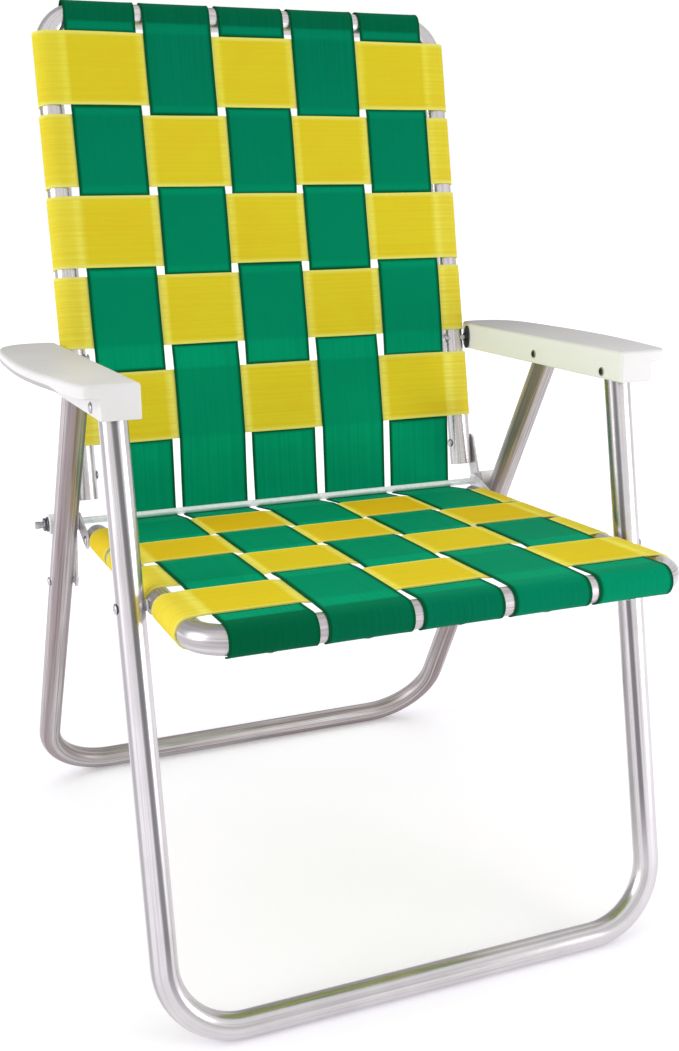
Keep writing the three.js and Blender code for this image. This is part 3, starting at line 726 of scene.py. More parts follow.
def long_crossings(column):
    back_places = [(place, long_on_top("back", row, column)) for row, place in enumerate(BACK_ROWS, 1)]
    seat_places = [(place, long_on_top("seat", row, column)) for row, place in enumerate(SEAT_ROWS, 1)]
    return back_places, seat_places


def long_line(column):
    back_places, seat_places = long_crossings(column)
    back_half = long_half(BACK_WRAP - BACK_SETBACK, BACK_LENGTH, BACK_WRAP, back_places[::-1])
    seat_half = long_half(SEAT_WRAP - HINGE_RISE, SEAT_LENGTH, SEAT_WRAP, seat_places)
    back_part = in_side_view(back_web_plane, lean_up, back_front, back_half)
    seat_part = in_side_view(seat_web_plane, seat_front, seat_up, seat_half)
    middle = np.array(hinge)
    start = back_part[0] - middle
    end = seat_part[0] - middle
    turns = np.linspace(math.atan2(start[2], start[1]), math.atan2(end[2], end[1]), ROD_STEPS)
    rod_part = [middle + ROD_WRAP * np.array([0, math.cos(a), math.sin(a)]) for a in turns[1:-1]]
    return back_part[::-1] + rod_part + seat_part


print("points on a long line", len(long_line(1)))

# %% Readings of the long webs
BACK_BEGINS = 0.06
WRAP_LEAD = 0.013
WRAP_FADE = 0.004
FRONT_LEAD = 0.002
FRONT_LENGTH = 0.012
# painted shade on the front wraps, lighter towards the sitter's left
FRONT_SHADE = [0.58, 0.46, 0.34, 0.16, 0.0]
# how much painted seat light each front wrap loses
FRONT_FADE = [0.9, 0.9, 0.9, 0.7, 0.05]
# painted shade on the wraps at the top of the back
TOP_SHADE = 0.48


def long_reading(column):
    back_places, seat_places = long_crossings(column)

    def reading(point):
        height = (point - hinge).dot(lean_up)
        on_back = height > BACK_BEGINS
        places = back_places if on_back else seat_places
        place = height if on_back else (point - hinge).dot(seat_front)
        past_end = place - (BACK_LENGTH if on_back else SEAT_LENGTH)
        tube = share((past_end + WRAP_LEAD) / WRAP_FADE)
        front = share((past_end + FRONT_LEAD) / FRONT_LENGTH)
        # painted seat light: fades up the back and on each front wrap
        painted_seat_light = near_seat(height) if on_back else 1 - FRONT_FADE[column - 1] * front
        # painted shade on the wraps round the tubes
        wrap_shade = TOP_SHADE if on_back else FRONT_SHADE[column - 1]
        dive_front = max(diving(place, places, False), wrap_shade * tube)
        # painted shade also where the web wraps round a tube
        backing = max(covered(place, [row for row, over in places]), tube)
        return backing, dive_front, diving(place, places, True), painted_seat_light, 0.0

    return reading


print("reading at the rod", long_reading(1)(hinge))

# %% Long green webs
BEND_REACH = 0.009
for column, x in enumerate(COLUMN_X, 1):
    line = long_line(column)
    web, length = web_strip(f"green_web_{column}", line, across, x, long_reading(column), column, False)
    dress(web, green_web, "green_web", None, f"back_web_{column}", f"seat_web_{column}")
    start = hinge + lean_up * BEND_REACH
    end = hinge + seat_front * BEND_REACH
    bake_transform(web)
print("long webs", round(length, 4), "m each")

# %% [markdown]
# The yellow webs go across. They wrap round both side tubes and are woven through the green ones,
# so every second crossing changes sides. One function makes a web of the back or of the seat,
# because only its place and its tube differ. The rows near the hinge get a deeper, warmer painted
# shade, as if the back shaded them.

# %% Yellow cross webs
CROSS_LEAD = 0.012
CROSS_BACKING = 0.55
# how much painted shade each seat row gets from the back
SEAT_PAINTED_SHADE = [1.0, 0.65, 0.25, 0.25]


def cross_line(tube_x, wrap, places, origin, up):
    right_end = arc((-tube_x, -wrap), wrap, math.pi / 2 + WRAP_ANGLE, math.pi / 2)
    left_end = arc((tube_x, -wrap), wrap, math.pi / 2, math.pi / 2 - WRAP_ANGLE)
    return in_side_view(origin, across, up, right_end + rounded(woven(places)) + left_end)


def cross_reading(tube_x, places, painted_seat_light, painted_shade):
    def reading(point):
        tube = share((abs(point.x) - tube_x + CROSS_LEAD) / WRAP_FADE)
        # painted shade also where the web lies over a tube
        backing = max(covered(point.x, COLUMN_X), CROSS_BACKING * tube)
        return backing, diving(point.x, places, False), diving(point.x, places, True), painted_seat_light, painted_shade

    return reading


def cross_web(body, row, origin, up, width_direction, tube_x, wrap, seed):
    places = [(x, not long_on_top(body, row, column)) for column, x in enumerate(COLUMN_X, 1)]
    line = cross_line(tube_x, wrap, places, origin, up)
    painted_seat_light = 1.0 if body == "seat" else near_seat(BACK_ROWS[row - 1])
    painted_shade = SEAT_PAINTED_SHADE[row - 1] if body == "seat" else 0.0
    reading = cross_reading(tube_x, places, painted_seat_light, painted_shade)
    web, length = web_strip(f"yellow_{body}_web_{row}", line, width_direction, 0.0, reading, seed)
    dress(web, yellow_web, "yellow_web", body, f"{body}_cross_web_{row}")
    return round(length, 4)


cross_lengths = []
for row, height in enumerate(BACK_ROWS, 1):
    origin = back_web_plane + lean_up * height
    cross_lengths.append(cross_web(
        "back", row, origin, back_front, -lean_up, back_x(height), BACK_WRAP, row + 7
    ))
for row, reach in enumerate(SEAT_ROWS, 1):
    origin = seat_web_plane + seat_front * reach
    cross_lengths.append(cross_web(
        "seat", row, origin, seat_up, seat_front, SEAT_X, SEAT_WRAP, row + 17
    ))
print("cross webs", cross_lengths)

# %% [markdown]
# The arms are moulded in off-white plastic. Painted shade greys the tops, most towards the back and
# more on the left arm, painted light keeps the inner sides pale, and a painted shadow darkens the
# lower outer edge. Noise alone would spread that shading evenly. Here the mesh stores where each kind
# lies, so one finish with a fine moulded grain serves both arms.

# %% Arm finish
MOULDED = (srgb(229, 228, 226), srgb(234, 233, 233))
LIT_INNER_SIDE = srgb(250, 249, 247)
SHADED_TOP_TONES = (srgb(221, 219, 220), srgb(230, 229, 227))
SHADED_TOP_GREY = srgb(160, 157, 160)
RIM_SHADOW = srgb(118, 116, 114)
arm_finish = Finish("moulded_arm")
grain = arm_finish.noise(900.0, 2.0, 0.5)
tint = arm_finish.noise(9.0, 3.0, 0.5)
# painted shade on the tops, deeper towards the back and on the left arm
shaded_top = arm_finish.painted(
    arm_finish.mix(tint.ease(0.3, 0.7), *SHADED_TOP_TONES),
    (arm_finish.reading("top_shade_amount"), SHADED_TOP_GREY),
)
arm_colour = arm_finish.painted(
    arm_finish.mix(tint.ease(0.35, 0.7), *MOULDED),
    # painted light on the inner sides
    (arm_finish.reading("lit_inner_side"), LIT_INNER_SIDE),
    # painted shade on the tops
    (arm_finish.reading("on_top"), shaded_top),
    # painted shadow along the lower outer edge
    (arm_finish.reading("rim").ease(0.42, 0.62) * 0.57, RIM_SHADOW),
)
arm_finish.set(Base_Color=arm_colour, Roughness=0.42 + grain * 0.12)
arm_finish.bump(grain, 0.06, 0.0003)
print("finish", arm_finish.material.name)

# %% [markdown]
# From above an arm is a paddle: straight along the inner side, swelling outwards, and round at the
# back. The edge that turns down is deep along the inner side and the front, where it covers the
# leg tops, and shallow along the outer side. One outline with a depth at each point describes all
# of that, and a few smooth curves draw it with far fewer numbers than a traced shape.

# %% Arm outline
ARM_PITCH = math.radians(2.07)
ARM_LENGTH = 0.340
ARM_REAR = 0.022
ARM_HEIGHT = 0.031
ARM_LIP = 0.012
ARM_X = 0.2455
ARM_TAPER = 0.0097
ARM_WIDTH = 0.035
STEP_HALF = 0.0004
TAIL_STEPS = 10
arm_front, arm_up = pitched(ARM_PITCH)


def arm_inner(reach):
    return ARM_X - ARM_TAPER * reach / ARM_LENGTH


def arm_outer(reach):
    return arm_inner(reach) + ARM_WIDTH


def curve(points, steps):
    part = np.linspace(0, 1, steps + 1)[:, None]
    points = [np.array(p, float)[None] for p in points]
    while len(points) > 1:
        points = [a * (1 - part) + b * part for a, b in zip(points, points[1:])]
    return list(points[0])


def arm_outline():
    front = ARM_LENGTH
    step = arm_outer(front)
    inner = arm_inner(0)
    corner = (0.278, front)
    shoulder = (0.288, front - 0.01)
    widest = (0.313, 0.119)
    heel = (0.3, -0.006)
    tail = (inner + 0.016, -ARM_REAR)
    points = [(arm_inner(front), front, ARM_HEIGHT)]
    points += [(step - STEP_HALF, front, ARM_HEIGHT), (step + STEP_HALF, front, ARM_LIP)]
    points += [(*corner, ARM_LIP)]
    for steps, bends in (
        (6, [corner, (0.286, front), shoulder]),
        (18, [shoulder, (0.302, 0.2584), (0.313, 0.204), widest]),
        (14, [widest, (0.313, 0.0408), (0.312, 0.008), heel]),
        (10, [heel, (0.292, -0.019), (0.282, -ARM_REAR), tail]),
    ):
        points += [(x, reach, ARM_LIP) for x, reach in curve(bends, steps)[1:]]
    ending = curve([tail, (inner, -ARM_REAR), (inner, -0.008)], TAIL_STEPS)[1:]
    for i, (x, reach) in enumerate(ending, 1):
        points.append((x, reach, ARM_LIP + (ARM_HEIGHT - ARM_LIP) * i / TAIL_STEPS))
    points.append((inner, 0.0, ARM_HEIGHT))
    points += [(arm_inner(r), r, ARM_HEIGHT) for r in np.linspace(0, front, 9)[1:-1]]
    return np.array(points)


def inset(points, distance):
    tangent = np.roll(points, -1, axis=0) - np.roll(points, 1, axis=0)
    tangent /= np.linalg.norm(tangent, axis=1)[:, None]
    return points + np.stack([tangent[:, 1], -tangent[:, 0]], 1) * distance


outline = arm_outline()
print("arm outline", len(outline), "points")

# %% [markdown]
# The shell of an arm goes over its top, down the outside, and up again on the inside, so it is
# hollow below as the moulding is. A second strip is the outer wall of the channel over the legs.
# Subdivision would round every edge alike. A bevel with weights keeps the top soft and the lower
# edges crisp.

# %% Arm shell and wall
ARM_TOP_RISE = 0.0174
ARM_WALL = 0.0026
ARM_TOP = 0.003
ARM_CROWN = 0.0036
WALL_TAPER = 0.03
WALL_END = -0.006
WALL_STEPS = 36


def flipped(ring, side):
    return ring if side < 0 else ring[::-1]


def arm_point(side, x, reach, depth):
    return arm_back_pivot + arm_up * (ARM_TOP_RISE - depth) + arm_front * reach + across * (side * x)


def arm_shell(side):
    flat = outline[:, :2]
    inside = inset(flat, ARM_WALL)
    rings = []
    for plan, depths in (
        (flat, np.zeros(len(flat))),
        (flat, np.full(len(flat), ARM_CROWN)),
        (flat, outline[:, 2]),
        (inside, outline[:, 2]),
        (inside, np.full(len(flat), ARM_TOP)),
    ):
        ring = [arm_point(side, x, reach, depth) for (x, reach), depth in zip(plan, depths)]
        rings.append(flipped(ring, side))
    return rings


def outer_wall(side):
    rings = []
    for reach in np.linspace(ARM_LENGTH - ARM_WALL / 2, WALL_END, WALL_STEPS):
        x = arm_outer(reach)
        low = ARM_LIP + (ARM_HEIGHT - ARM_LIP) * min(1.0, (reach - WALL_END) / WALL_TAPER)
        corners = [(x, ARM_TOP / 2), (x, low), (x - ARM_WALL, low), (x - ARM_WALL, ARM_TOP / 2)]
        rings.append(flipped([arm_point(side, px, reach, depth) for px, depth in corners], side))
    return rings


print("rings of a shell", len(arm_shell(1)), "and of a wall", len(outer_wall(1)))

# %% Arm shading
# where the painted shadow under the outer lip ends
RIM_END = 0.32
RIM_FADE = 0.06
# painted shade on the arm tops, more on the left arm
TOP_SHADE_BY_ARM = {1: (0.25, 0.65), -1: (0.0, 0.49)}


def rim_shade(side):
    shade = []
    for x, reach, depth in outline:
        shade.append(share((RIM_END - reach) / RIM_FADE) if depth == ARM_LIP else 0.0)
    return flipped(shade, side)


def grey_shade(side):
    least, more = TOP_SHADE_BY_ARM[side]
    return flipped(list(least + more * (ARM_LENGTH - outline[:, 1]) / (ARM_LENGTH + ARM_REAR)), side)


print("greying of the left arm", round(min(grey_shade(1)), 2), "to", round(max(grey_shade(1)), 2))

# %% Arms
SIDES = (("left", 1), ("right", -1))
TOP_EDGE = 0.0026
RIM_EDGE = 0.0011
WALL_EDGE = 0.0005
SHARP = math.radians(50)


def round_edges(piece, top_points, rim_width):
    shape = bmesh.new()
    shape.from_mesh(piece.data)
    weight = shape.edges.layers.float.new("bevel_weight_edge")
    for edge in shape.edges:
        if edge.calc_face_angle(0) > SHARP:
            on_top = any(vert.index < top_points for vert in edge.verts)
            edge[weight] = 1.0 if on_top else rim_width / TOP_EDGE
    shape.to_mesh(piece.data)
    shape.free()
    bevel = piece.modifiers.new("rounded_edges", "BEVEL")
    bevel.width = TOP_EDGE
    bevel.segments = 4
    bevel.limit_method = "WEIGHT"
    bevel.use_clamp_overlap = False
    piece.modifiers.new("even_shading", "WEIGHTED_NORMAL").keep_sharp = True


points = len(outline)
for word, side in SIDES:
    rings = arm_shell(side)
    shell = loft(f"{word}_arm_shell", rings, smooth_angle=35)
    wall = loft(f"{word}_arm_outer_wall", outer_wall(side), smooth_angle=35)
    round_edges(shell, points, RIM_EDGE)
    round_edges(wall, 0, WALL_EDGE)
    store(shell, "on_top", [1.0] * points + [0.0] * (points * (len(rings) - 1)))
    # painted shade on the top, deeper towards the back
    store(shell, "top_shade_amount", grey_shade(side) * len(rings))
    store(shell, "rim", [0.0] * (2 * points) + rim_shade(side) * 2 + [0.0] * points)
    # painted light on the inner faces
    store(shell, "lit_inner_side", [face.normal.x * side < -0.9 for face in shell.data.polygons], "FACE")
    dress(shell, arm_finish, "white_plastic", "arms", f"{word}_arm")
    dress(wall, arm_finish, "white_plastic", "arms")
print("arms", len(shell.data.vertices), "points each")

# %% [markdown]
# The hardware is small but it is what makes the chair fold: plated rivets, plates, links, the rod
# with its bushes and nuts. All of it is worn in the same way, so one function makes each finish
# from two colours and a fine noise that also dulls and roughens it.

# %% Hardware finishes
def worn_finish(
    name, first, second, metallic, rough, spread, relief, scale, detail=3.0, low=0.4, stretch=None
):
    finish = Finish(name)
    wear = finish.noise(scale, detail, 0.6, finish.stretched(stretch) if stretch else None)
    finish.set(Base_Color=finish.mix(wear.ease(low, 0.7), srgb(*first), srgb(*second)))
    finish.set(Metallic=metallic, Roughness=rough + wear * spread)
    finish.bump(wear, relief, 0.0002)
    return finish


plated_finish = worn_finish(
    "plated_steel", (196, 196, 198), (168, 168, 172),
    metallic=1.0, rough=0.24, spread=0.2, relief=0.08, scale=260.0, detail=4.0,
)
strap_finish = worn_finish(
    "brushed_strap", (228, 226, 227), (206, 202, 204),
    metallic=0.35, rough=0.3, spread=0.18, relief=0.08, scale=1.0, low=0.3, stretch=(40.0, 900.0, 120.0),
)
# painted highlight: the rod's middle is near-white and barely metallic
rod_highlight_finish = worn_finish(
    "rod_painted_highlight", (246, 252, 249), (228, 238, 233),
    metallic=0.1, rough=0.3, spread=0.15, relief=0.05, scale=180.0,
)
dark_and_shade_finish = worn_finish(
    "dark_and_shade", (34, 34, 37), (52, 52, 55),
    metallic=0.0, rough=0.45, spread=0.2, relief=0.1, scale=400.0,
)
nut_finish = worn_finish(
    "dull_zinc", (96, 98, 104), (140, 142, 146),
    metallic=0.9, rough=0.34, spread=0.2, relief=0.08, scale=300.0,
)
finishes = (plated_finish, strap_finish, rod_highlight_finish, dark_and_shade_finish, nut_finish)
print("finishes", [finish.material.name for finish in finishes])

# %% [markdown]
# Rivets, bushes, washers and the rod are all turned. Each comes from a profile, a list of radius
# and reach, that is spun round the X axis. A Screw modifier could spin it too, but a loft needs no
# applying, and a profile point can ask for a narrower depth where a piece isn't round.

# %% Turned pieces
ROUND_SIDES = 28


def turned(name, profile, point, start, side, finish, body, slot, *nodes, sides=ROUND_SIDES):
    rings = []
    for radius, reach, *narrow in profile:
        x = side * (start + reach)
        depth = narrow[0] if narrow else radius
        ring = [(x, point.y + depth * math.cos(a), point.z + radius * math.sin(a)) for a in circle(sides)]
        rings.append(flipped(ring, side))
    return dress(loft(name, rings, smooth_angle=35), finish, slot, body, *nodes)


print("turned pieces have", ROUND_SIDES, "sides")

# %% [markdown]
# Seven rivets a side join the frames. A rivet is a shank with a low dome at each end. The two that
# hold an arm to its legs are hollow, and the inside of their hole gets the dark finish as painted
# shade. They could be set by eye, but the pivots and the tubes and plates that they hold together
# say where each one sits.

# %% Places of the rivets
PLATE = 0.0024
SEAT_PLATE_X = 0.239
BACK_PLATE_X = 0.242
SEAT_RIVET_REACH = 0.036
BACK_RIVET_RISE = 0.048
seat_rivet_point = seat_line + seat_front * SEAT_RIVET_REACH
back_rivet_point = back_line + lean_up * BACK_RIVET_RISE
link_low, link_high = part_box("left_link_rivet")
link_point = Vector((0, (link_low.y + link_high.y) / 2, (link_low.z + link_high.z) / 2))
link_leg_x = rear_leg_x((arm_rear_pivot - link_point).length)
arm_rise = (arm_back_pivot - hinge).length


def arm_side(point):
    return arm_inner((point - arm_back_pivot).dot(arm_front))


print("link rivet at", tuple(link_point))

# %% Rivets
RIVET_RADIUS = 0.003
HEAD_RADIUS = 0.005
HEAD_HEIGHT = 0.0022
LOW_HEAD = 0.0007
HOLE = 0.0032
ARM_BACK_GRIP = 0.0333
BACK_PLATE_GRIP = 0.0285


def rivet_profile(length, inner_head, hole=0.0):
    low, high = -GAP, length + GAP
    dome = [(HEAD_RADIUS * math.cos(a), math.sin(a)) for a in np.linspace(0, 1.45, 7)]
    bottom = [(radius, low - rise * inner_head) for radius, rise in reversed(dome)]
    if hole:
        rim = low - 0.35 * inner_head
        bottom = [(hole, low + 0.0001), (hole, rim), (HEAD_RADIUS * 0.82, rim), (HEAD_RADIUS * 0.9, low)]
    top = [(radius, high + rise * HEAD_HEIGHT) for radius, rise in dome]
    return bottom + [(RIVET_RADIUS, low), (RIVET_RADIUS, high)] + top


seat_grip = SEAT_PLATE_X + PLATE - SEAT_X + TUBE_RADIUS
pivot_grip = FRONT_LEG_X + 2 * TUBE_RADIUS - SEAT_X
rivets = [
    ("arm_front", arm_front_pivot, arm_side(arm_front_pivot), ARM_WIDTH, "arms", HEAD_HEIGHT, HOLE),
    ("arm_rear", arm_rear_pivot, arm_side(arm_rear_pivot), ARM_WIDTH, "arms", HEAD_HEIGHT, HOLE),
    ("arm_back", arm_back_pivot, back_x(arm_rise) - TUBE_RADIUS, ARM_BACK_GRIP, "back", HEAD_HEIGHT, 0.0),
    ("seat_pivot", seat_pivot, SEAT_X - TUBE_RADIUS, pivot_grip, "front_legs", HEAD_HEIGHT, 0.0),
    ("seat_plate", seat_rivet_point, SEAT_X - TUBE_RADIUS, seat_grip, "seat", HEAD_HEIGHT, 0.0),
    (
        "back_plate", back_rivet_point, back_x(BACK_RIVET_RISE) - TUBE_RADIUS, BACK_PLATE_GRIP,
        "back", HEAD_HEIGHT, 0.0,
    ),
    ("link", link_point, link_leg_x - TUBE_RADIUS, 2 * TUBE_RADIUS, "rear_legs", LOW_HEAD, 0.0),
]
for word, side in SIDES:
    for name, point, start, length, body, inner_head, hole in rivets:
        node = f"{word}_{name}_rivet"
        profile = rivet_profile(length, inner_head, hole)
        rivet = turned(f"{node}_turned", profile, point, start, side, plated_finish, body, "steel", node)
        # the inside of the hole gets the dark finish as painted shade
        if hole:
            rivet.data.materials.append(dark_and_shade_finish.material)
            for face in list(rivet.data.polygons)[:ROUND_SIDES] + [rivet.data.polygons[-2]]:
                face.material_index = 1
print("rivets", len(rivets) * len(SIDES))

# %% [markdown]
# Spacers and the rod's own hardware are turned too. The stop bush is what each rear leg rests
# against when the chair stands open, so its size comes from the CAD solid. The spacer behind an arm
# gets the dark finish and a flange that is narrow fore and aft, so that it fills the strip between
# the arm and the back tube with dark. The rod's middle is painted near-white as a painted highlight,
# and its plated ends carry a fine thread. A true thread is a helix, but at this size a row of close
# rings looks the same.

# %% Bushes, washers, nuts and spacers
ROD_BORE = 0.0042
RIVET_BORE = 0.0034
WASHER_RADIUS = 0.008
WASHER_THICKNESS = 0.0018
NUT_RADIUS = 0.0073
NUT_THICKNESS = 0.003
SPACER_RADIUS = 0.005
LEG_INNER_X = 0.2413
FLANGE_START = 0.24298
FLANGE_RADIUS = 0.0135
FLANGE_HALF = 0.0062
FLANGE_EDGE = 0.0004
FLANGE_BEVEL = 0.0003
NUT_SIDES = 6


def sleeve_profile(radius, bore, length, edge=0.0004):
    outside = [(radius - edge, 0.0), (radius, edge), (radius, length - edge), (radius - edge, length)]
    return [(bore, 0.0)] + outside + [(bore, length), (bore, 0.0)]


def flange_profile(collar, flange):
    eased = (FLANGE_RADIUS - FLANGE_EDGE, FLANGE_HALF - FLANGE_EDGE)
    return [
        (RIVET_BORE, 0.0), (SPACER_RADIUS, 0.0), (SPACER_RADIUS, flange), (eased[0], flange, eased[1]),
        (FLANGE_RADIUS, flange + FLANGE_BEVEL, FLANGE_HALF),
        (FLANGE_RADIUS, collar - FLANGE_BEVEL, FLANGE_HALF),
        (eased[0], collar, eased[1]), (RIVET_BORE, collar), (RIVET_BORE, 0.0),
    ]


def span_of(node):
    low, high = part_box(node)
    return min(abs(low.x), abs(high.x)), max(abs(low.x), abs(high.x)), (high.z - low.z) / 2


seat_start = SEAT_X + TUBE_RADIUS + GAP
for word, side in SIDES:
    bush_start, bush_end, bush_radius = span_of(f"{word}_stop_bush")
    arm_start, arm_end, _ = span_of(f"{word}_arm_back_spacer")
    bush = sleeve_profile(bush_radius, ROD_BORE, bush_end - bush_start, edge=0.001)
    washer = sleeve_profile(WASHER_RADIUS, ROD_BORE, WASHER_THICKNESS)
    nut = sleeve_profile(NUT_RADIUS, ROD_BORE, NUT_THICKNESS, edge=0.0006)
    seat_spacer = sleeve_profile(SPACER_RADIUS, RIVET_BORE, LEG_INNER_X - GAP - seat_start, edge=0.0002)
    arm_spacer = flange_profile(arm_end - arm_start, FLANGE_START - arm_start)
    nut_start = bush_end + 2 * GAP + WASHER_THICKNESS
    for name, node, profile, point, start, finish, body, slot, sides in (
        ("stop_bush", "stop_bush", bush, hinge, bush_start, arm_finish, "back", "white_plastic", ROUND_SIDES),
        ("rod_washer", "rod_washer", washer, hinge, bush_end + GAP, nut_finish, "back", "steel", ROUND_SIDES),
        ("rod_nut", "rod_nut", nut, hinge, nut_start, nut_finish, "back", "steel", NUT_SIDES),
        (
            "seat_spacer", "seat_pivot_spacer", seat_spacer, seat_pivot, seat_start, arm_finish,
            "seat", "white_plastic", ROUND_SIDES,
        ),
        (
            # the dark finish fills the strip between the arm and the back tube with dark
            "arm_spacer", "arm_back_spacer", arm_spacer, arm_back_pivot, arm_start, dark_and_shade_finish,
            "arms", "dark_plastic", ROUND_SIDES,
        ),
    ):
        node = f"{word}_{node}"
        turned(f"{word}_{name}_turned", profile, point, start, side, finish, body, slot, node, sides=sides)
print("stop bush", round(2 * bush_radius, 4), "m across")

# %% Hinge rod
THREAD_DEPTH = 0.00025
THREAD_TURNS = 5200
THREAD_LENGTH = 0.014
ROD_END = 0.03
ROD_RINGS = 260
ROD_SIDES = 24
rod_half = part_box("hinge_rod")[1].x
thread = []
for x in np.linspace(-rod_half, rod_half, ROD_RINGS):
    ridge = THREAD_DEPTH * math.sin(abs(x) * THREAD_TURNS) if abs(x) > rod_half - THREAD_LENGTH else 0.0
    thread.append((ROD_RADIUS - THREAD_DEPTH + ridge, x))
rod = turned(
    "hinge_rod_turned", thread, hinge, 0.0, -1, rod_highlight_finish, "back", "steel", "hinge_rod", sides=ROD_SIDES
)
rod.data.materials.append(plated_finish.material)
for face in rod.data.polygons:
    face.material_index = int(abs(face.center.x) > rod_half - ROD_END)
print("rod", round(2 * rod_half, 4), "m")

# %% [markdown]
# Plates and links are flat straps with round ends, cut from strip and tumbled, so every edge is
# slightly rounded. All of them start at the rod. An extruded outline with a bevel would look the
# same. Here four rings give the two faces and the two eased edges at once.

# %% Straps
LINK_X = 0.2447
PLATE_RADIUS = 0.0095
LINK_RADIUS = 0.009
LINK_HEAD = 0.0015
STRAP_EDGE = 0.0003
END_STEPS = 17


def strap(name, end, radius, x, side, body, slot, node):
    heading = math.atan2(end.z - hinge.z, end.y - hinge.y)
    plan = []
    for centre, start in ((hinge, heading + math.pi / 2), (end, heading - math.pi / 2)):
        for angle in np.linspace(start, start + math.pi, END_STEPS):
            plan.append((centre.y + radius * math.cos(angle), centre.z + radius * math.sin(angle)))
    middle = (np.array([hinge.y, hinge.z]) + np.array([end.y, end.z])) / 2
    edge = STRAP_EDGE
    rings = []
    for drawn_in, depth in ((edge, 0.0), (0.0, edge), (0.0, PLATE - edge), (edge, PLATE)):
        ring = []
        for place in plan:
            away = np.array(place) - middle
            y, z = middle + away * (1 - drawn_in / np.linalg.norm(away))
            ring.append((side * (x + depth), y, z))
        rings.append(flipped(ring, -side))
    return dress(loft(name, rings, smooth_angle=30), strap_finish, slot, body, node)


straps = (
    ("seat_plate", seat_rivet_point, PLATE_RADIUS, SEAT_PLATE_X, "seat", "steel", "seat_hinge_plate"),
    ("back_plate", back_rivet_point, PLATE_RADIUS, BACK_PLATE_X, "back", "steel", "back_hinge_plate"),
    ("link", link_point, LINK_RADIUS, LINK_X, "links", "tube_aluminium", "link"),
)
boss = rivet_profile(PLATE, LINK_HEAD)[:8] + [(RIVET_RADIUS, PLATE - GAP)]
for word, side in SIDES:
    for name, end, radius, x, body, slot, node in straps:
        strap(f"{word}_{name}_strap", end, radius, x, side, body, slot, f"{word}_{node}")
    turned(f"{word}_link_head", boss, link_point, LINK_X, side, plated_finish, "links", "steel")
print("straps", len(straps) * len(SIDES))

# %% [markdown]
# Each web end is held to its tube by a small screw with a washer, on the side away from the
# sitter. They are too small for the CAD, and they ride on the frame that they are driven into.
# Many single objects would slow the scene, so the screws of one frame share a mesh.

# %% Web screws
SCREW_ANGLE = math.radians(172)
SCREW_SIDES = 16
SCREW_PROFILE = [
    (0.0042, -0.0003), (0.0042, 0.0001), (0.0034, 0.0004),
    (0.0014, 0.0006), (0.0011, 0.0002), (0.0003, 0.0002),
]


def screw_rings(point, facing):
    helper = across if abs(facing.x) < 0.5 else Vector((0, 0, 1))
    first = facing.cross(helper).normalized()
    second = facing.cross(first)
    spokes = [first * math.cos(a) + second * math.sin(a) for a in circle(SCREW_SIDES)]
    return [[point + facing * rise + spoke * radius for spoke in spokes] for radius, rise in SCREW_PROFILE]


def screws(name, places, body):
    verts = []
    faces = []
    for point, facing in places:
        rings = screw_rings(point, facing)
        faces += ring_faces(len(rings), SCREW_SIDES, len(verts))
        for ring in rings:
            verts += ring
    return dress(new_piece(name, verts, faces, 35), plated_finish, "steel", body)


def wrap_screw(centre, wrap, sideways, up):
    facing = sideways * math.sin(SCREW_ANGLE) + up * math.cos(SCREW_ANGLE)
    return centre + facing * (wrap + WEB_THICKNESS / 2), facing


back_screws = []
seat_screws = []
for height in BACK_ROWS:
    for _, side in SIDES:
        centre = back_line + lean_up * height + across * (side * back_x(height))
        back_screws.append(wrap_screw(centre, BACK_WRAP, across * side, back_front))
for reach in SEAT_ROWS:
    for _, side in SIDES:
        centre = seat_line + seat_front * reach + across * (side * SEAT_X)
        seat_screws.append(wrap_screw(centre, SEAT_WRAP, across * side, seat_up))
for x in COLUMN_X:
    back_end = back_line + lean_up * BACK_LENGTH + across * x
    seat_end = seat_line + seat_front * SEAT_LENGTH + across * x
    back_screws.append(wrap_screw(back_end, BACK_WRAP, lean_up, back_front))
    seat_screws.append(wrap_screw(seat_end, SEAT_WRAP, seat_front, seat_up))
screws("back_web_screws", back_screws, "back")
screws("seat_web_screws", seat_screws, "seat")
print("screws", len(back_screws) + len(seat_screws))

# %% [markdown]
# The studio is a white sweep. The floor looks white to the camera but still takes the chair's
# shadow: it is pale paper with a little glow that only the camera and mirror-like metal see. A
# shadow catcher would need the compositor, which this scene does without.

# %% Floor
SPREAD = 12.0
NEAR_GLOW = (0.185, 0.185, 0.185)
FAR_GLOW = (0.3, 0.3, 0.3)
PAPER = ((0.92, 0.905, 0.955), (0.935, 0.915, 0.965))
corners = [(-SPREAD, -SPREAD, 0), (SPREAD, -SPREAD, 0), (SPREAD, SPREAD, 0), (-SPREAD, SPREAD, 0)]
floor_mesh = bpy.data.meshes.new("studio_floor")
floor_mesh.from_pydata(corners, [], [(0, 1, 2, 3)])
floor = put("studio_floor", floor_mesh)


def ray_kinds(finish):
    camera_ray = finish.node("ShaderNodeLightPath", output="Is Camera Ray")
    return camera_ray, camera_ray.beside("Is Glossy Ray"), camera_ray.beside("Is Transmission Ray")


floor_finish = Finish("floor_paper")
camera_ray, glossy_ray, through_ray = ray_kinds(floor_finish)
paper = floor_finish.noise(3.0, 2.0, 0.5)
from_middle = {0: floor_finish.place()}
away = floor_finish.node("ShaderNodeVectorMath", {"operation": "LENGTH"}, from_middle, output="Value")
glow = floor_finish.mix(away.ease(0.7, 2.4), NEAR_GLOW, FAR_GLOW)
floor_seen = camera_ray + glossy_ray + through_ray
floor_finish.set(Base_Color=floor_finish.mix(paper, *PAPER), Roughness=0.9, Specular_IOR_Level=0.0)
floor_finish.set(Emission_Color=floor_finish.mix(floor_seen, BLACK, glow), Emission_Strength=1.0)
floor_mesh.materials.append(floor_finish.material)
print("floor", 2 * SPREAD, "m wide")

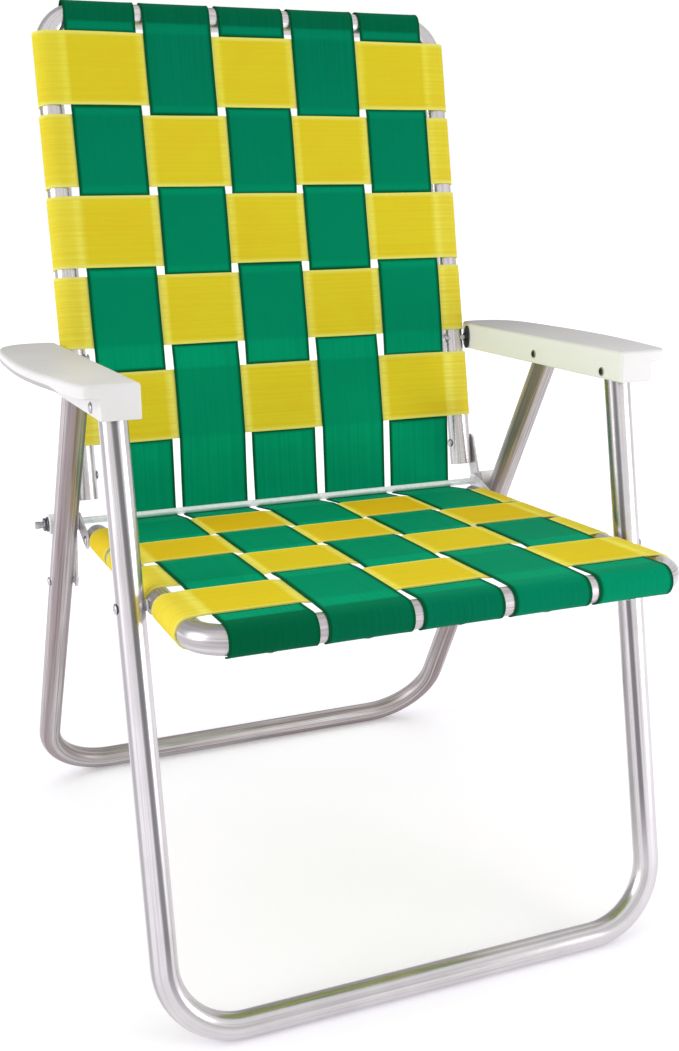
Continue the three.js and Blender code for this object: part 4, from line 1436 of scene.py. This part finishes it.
# %% [markdown]
# The world is white to the camera. Metal sees the same bright room with two darker strips, which
# is what draws the long lines on polished tube. Everything else gets a softer light, stronger from
# above. A picture of a real room could do this, but strips can be put just where they help.

# %% World
SKY_LOW = 0.36
SKY_RISE = 0.78
world = bpy.data.worlds.new("studio")
bpy.context.scene.world = world
world.use_nodes = True
sky = Finish("studio", world.node_tree)
background = world.node_tree.nodes["Background"]
camera_ray, glossy_ray, through_ray = ray_kinds(sky)
east = sky.node("ShaderNodeSeparateXYZ", None, {0: sky.node("ShaderNodeTexCoord", output="Generated")})
north = east.beside(1)
height = east.beside(2)
turn = east.math("ARCTAN2", north, east)


def strip_at(angle, half):
    gap = (turn - math.radians(angle)).size()
    return 1 - gap.ease(math.radians(half) * 0.6, math.radians(half))


room = 1 - strip_at(108, 62) * 0.55 - strip_at(15, 32) * 0.2
soft_light = SKY_LOW + height.ease(0.0, 1.0) * SKY_RISE
seen = camera_ray + through_ray + glossy_ray * room
strength = seen + (1 - camera_ray) * (1 - glossy_ray) * (1 - through_ray) * soft_light
sky.feed(background.inputs["Strength"], strength)
sky.feed(background.inputs["Color"], (1.0, 1.0, 1.0))
print("world made")

# %% [markdown]
# Two soft lamps give the gentle modelling of the photograph. The key is small and stands low in
# front, on the sitter's left. The fill is large and stands high, well off to the sitter's right.
# Discs are used because a disc leaves a softer mark on round tube than a square does.

# %% Lamps
def soft_lamp(name, place, target, size, power):
    light = bpy.data.lights.new(name, "AREA")
    light.shape = "DISK"
    light.size = size
    light.energy = power
    lamp = put(name, light)
    lamp.location = place
    lamp.rotation_euler = (Vector(target) - Vector(place)).to_track_quat("-Z", "Y").to_euler()


soft_lamp("key_lamp", (1.3, -1.3, 0.5), (0.0, -0.05, 0.42), size=0.9, power=9.5)
soft_lamp("fill_lamp", (-4.5, -0.2, 1.9), (0, 0, 0.5), size=3.0, power=82)
print("lamps", [light.name for light in bpy.data.lights])

# %% [markdown]
# The camera stands where the photograph was taken from: front, a little to the sitter's right,
# looking down by about sixteen degrees. Its place was found from points on the frame and the webs,
# so it is written as numbers and not tracked to a target.

# %% Camera
CAMERA_X = -0.4738
CAMERA_BACK = 1.2405
CAMERA_HEIGHT = 0.7731
CAMERA_TURN = math.radians(21.9)
CAMERA_DROP = math.radians(16.2)
SENSOR = 36
FOCAL_SHARE = 1273 / 679
camera_data = bpy.data.cameras.new("photo_camera")
camera_data.sensor_fit = "HORIZONTAL"
camera_data.sensor_width = SENSOR
camera_data.lens = SENSOR * FOCAL_SHARE
camera = put("photo_camera", camera_data)
camera.location = (CAMERA_X, floor_middle_y - CAMERA_BACK, CAMERA_HEIGHT)
look = Vector((
    math.sin(CAMERA_TURN) * math.cos(CAMERA_DROP),
    math.cos(CAMERA_TURN) * math.cos(CAMERA_DROP),
    -math.sin(CAMERA_DROP),
))
camera.rotation_euler = look.to_track_quat("-Z", "Y").to_euler()
bpy.context.scene.camera = camera
bpy.context.scene.view_settings.view_transform = "Standard"
print("camera at", tuple(camera.location))
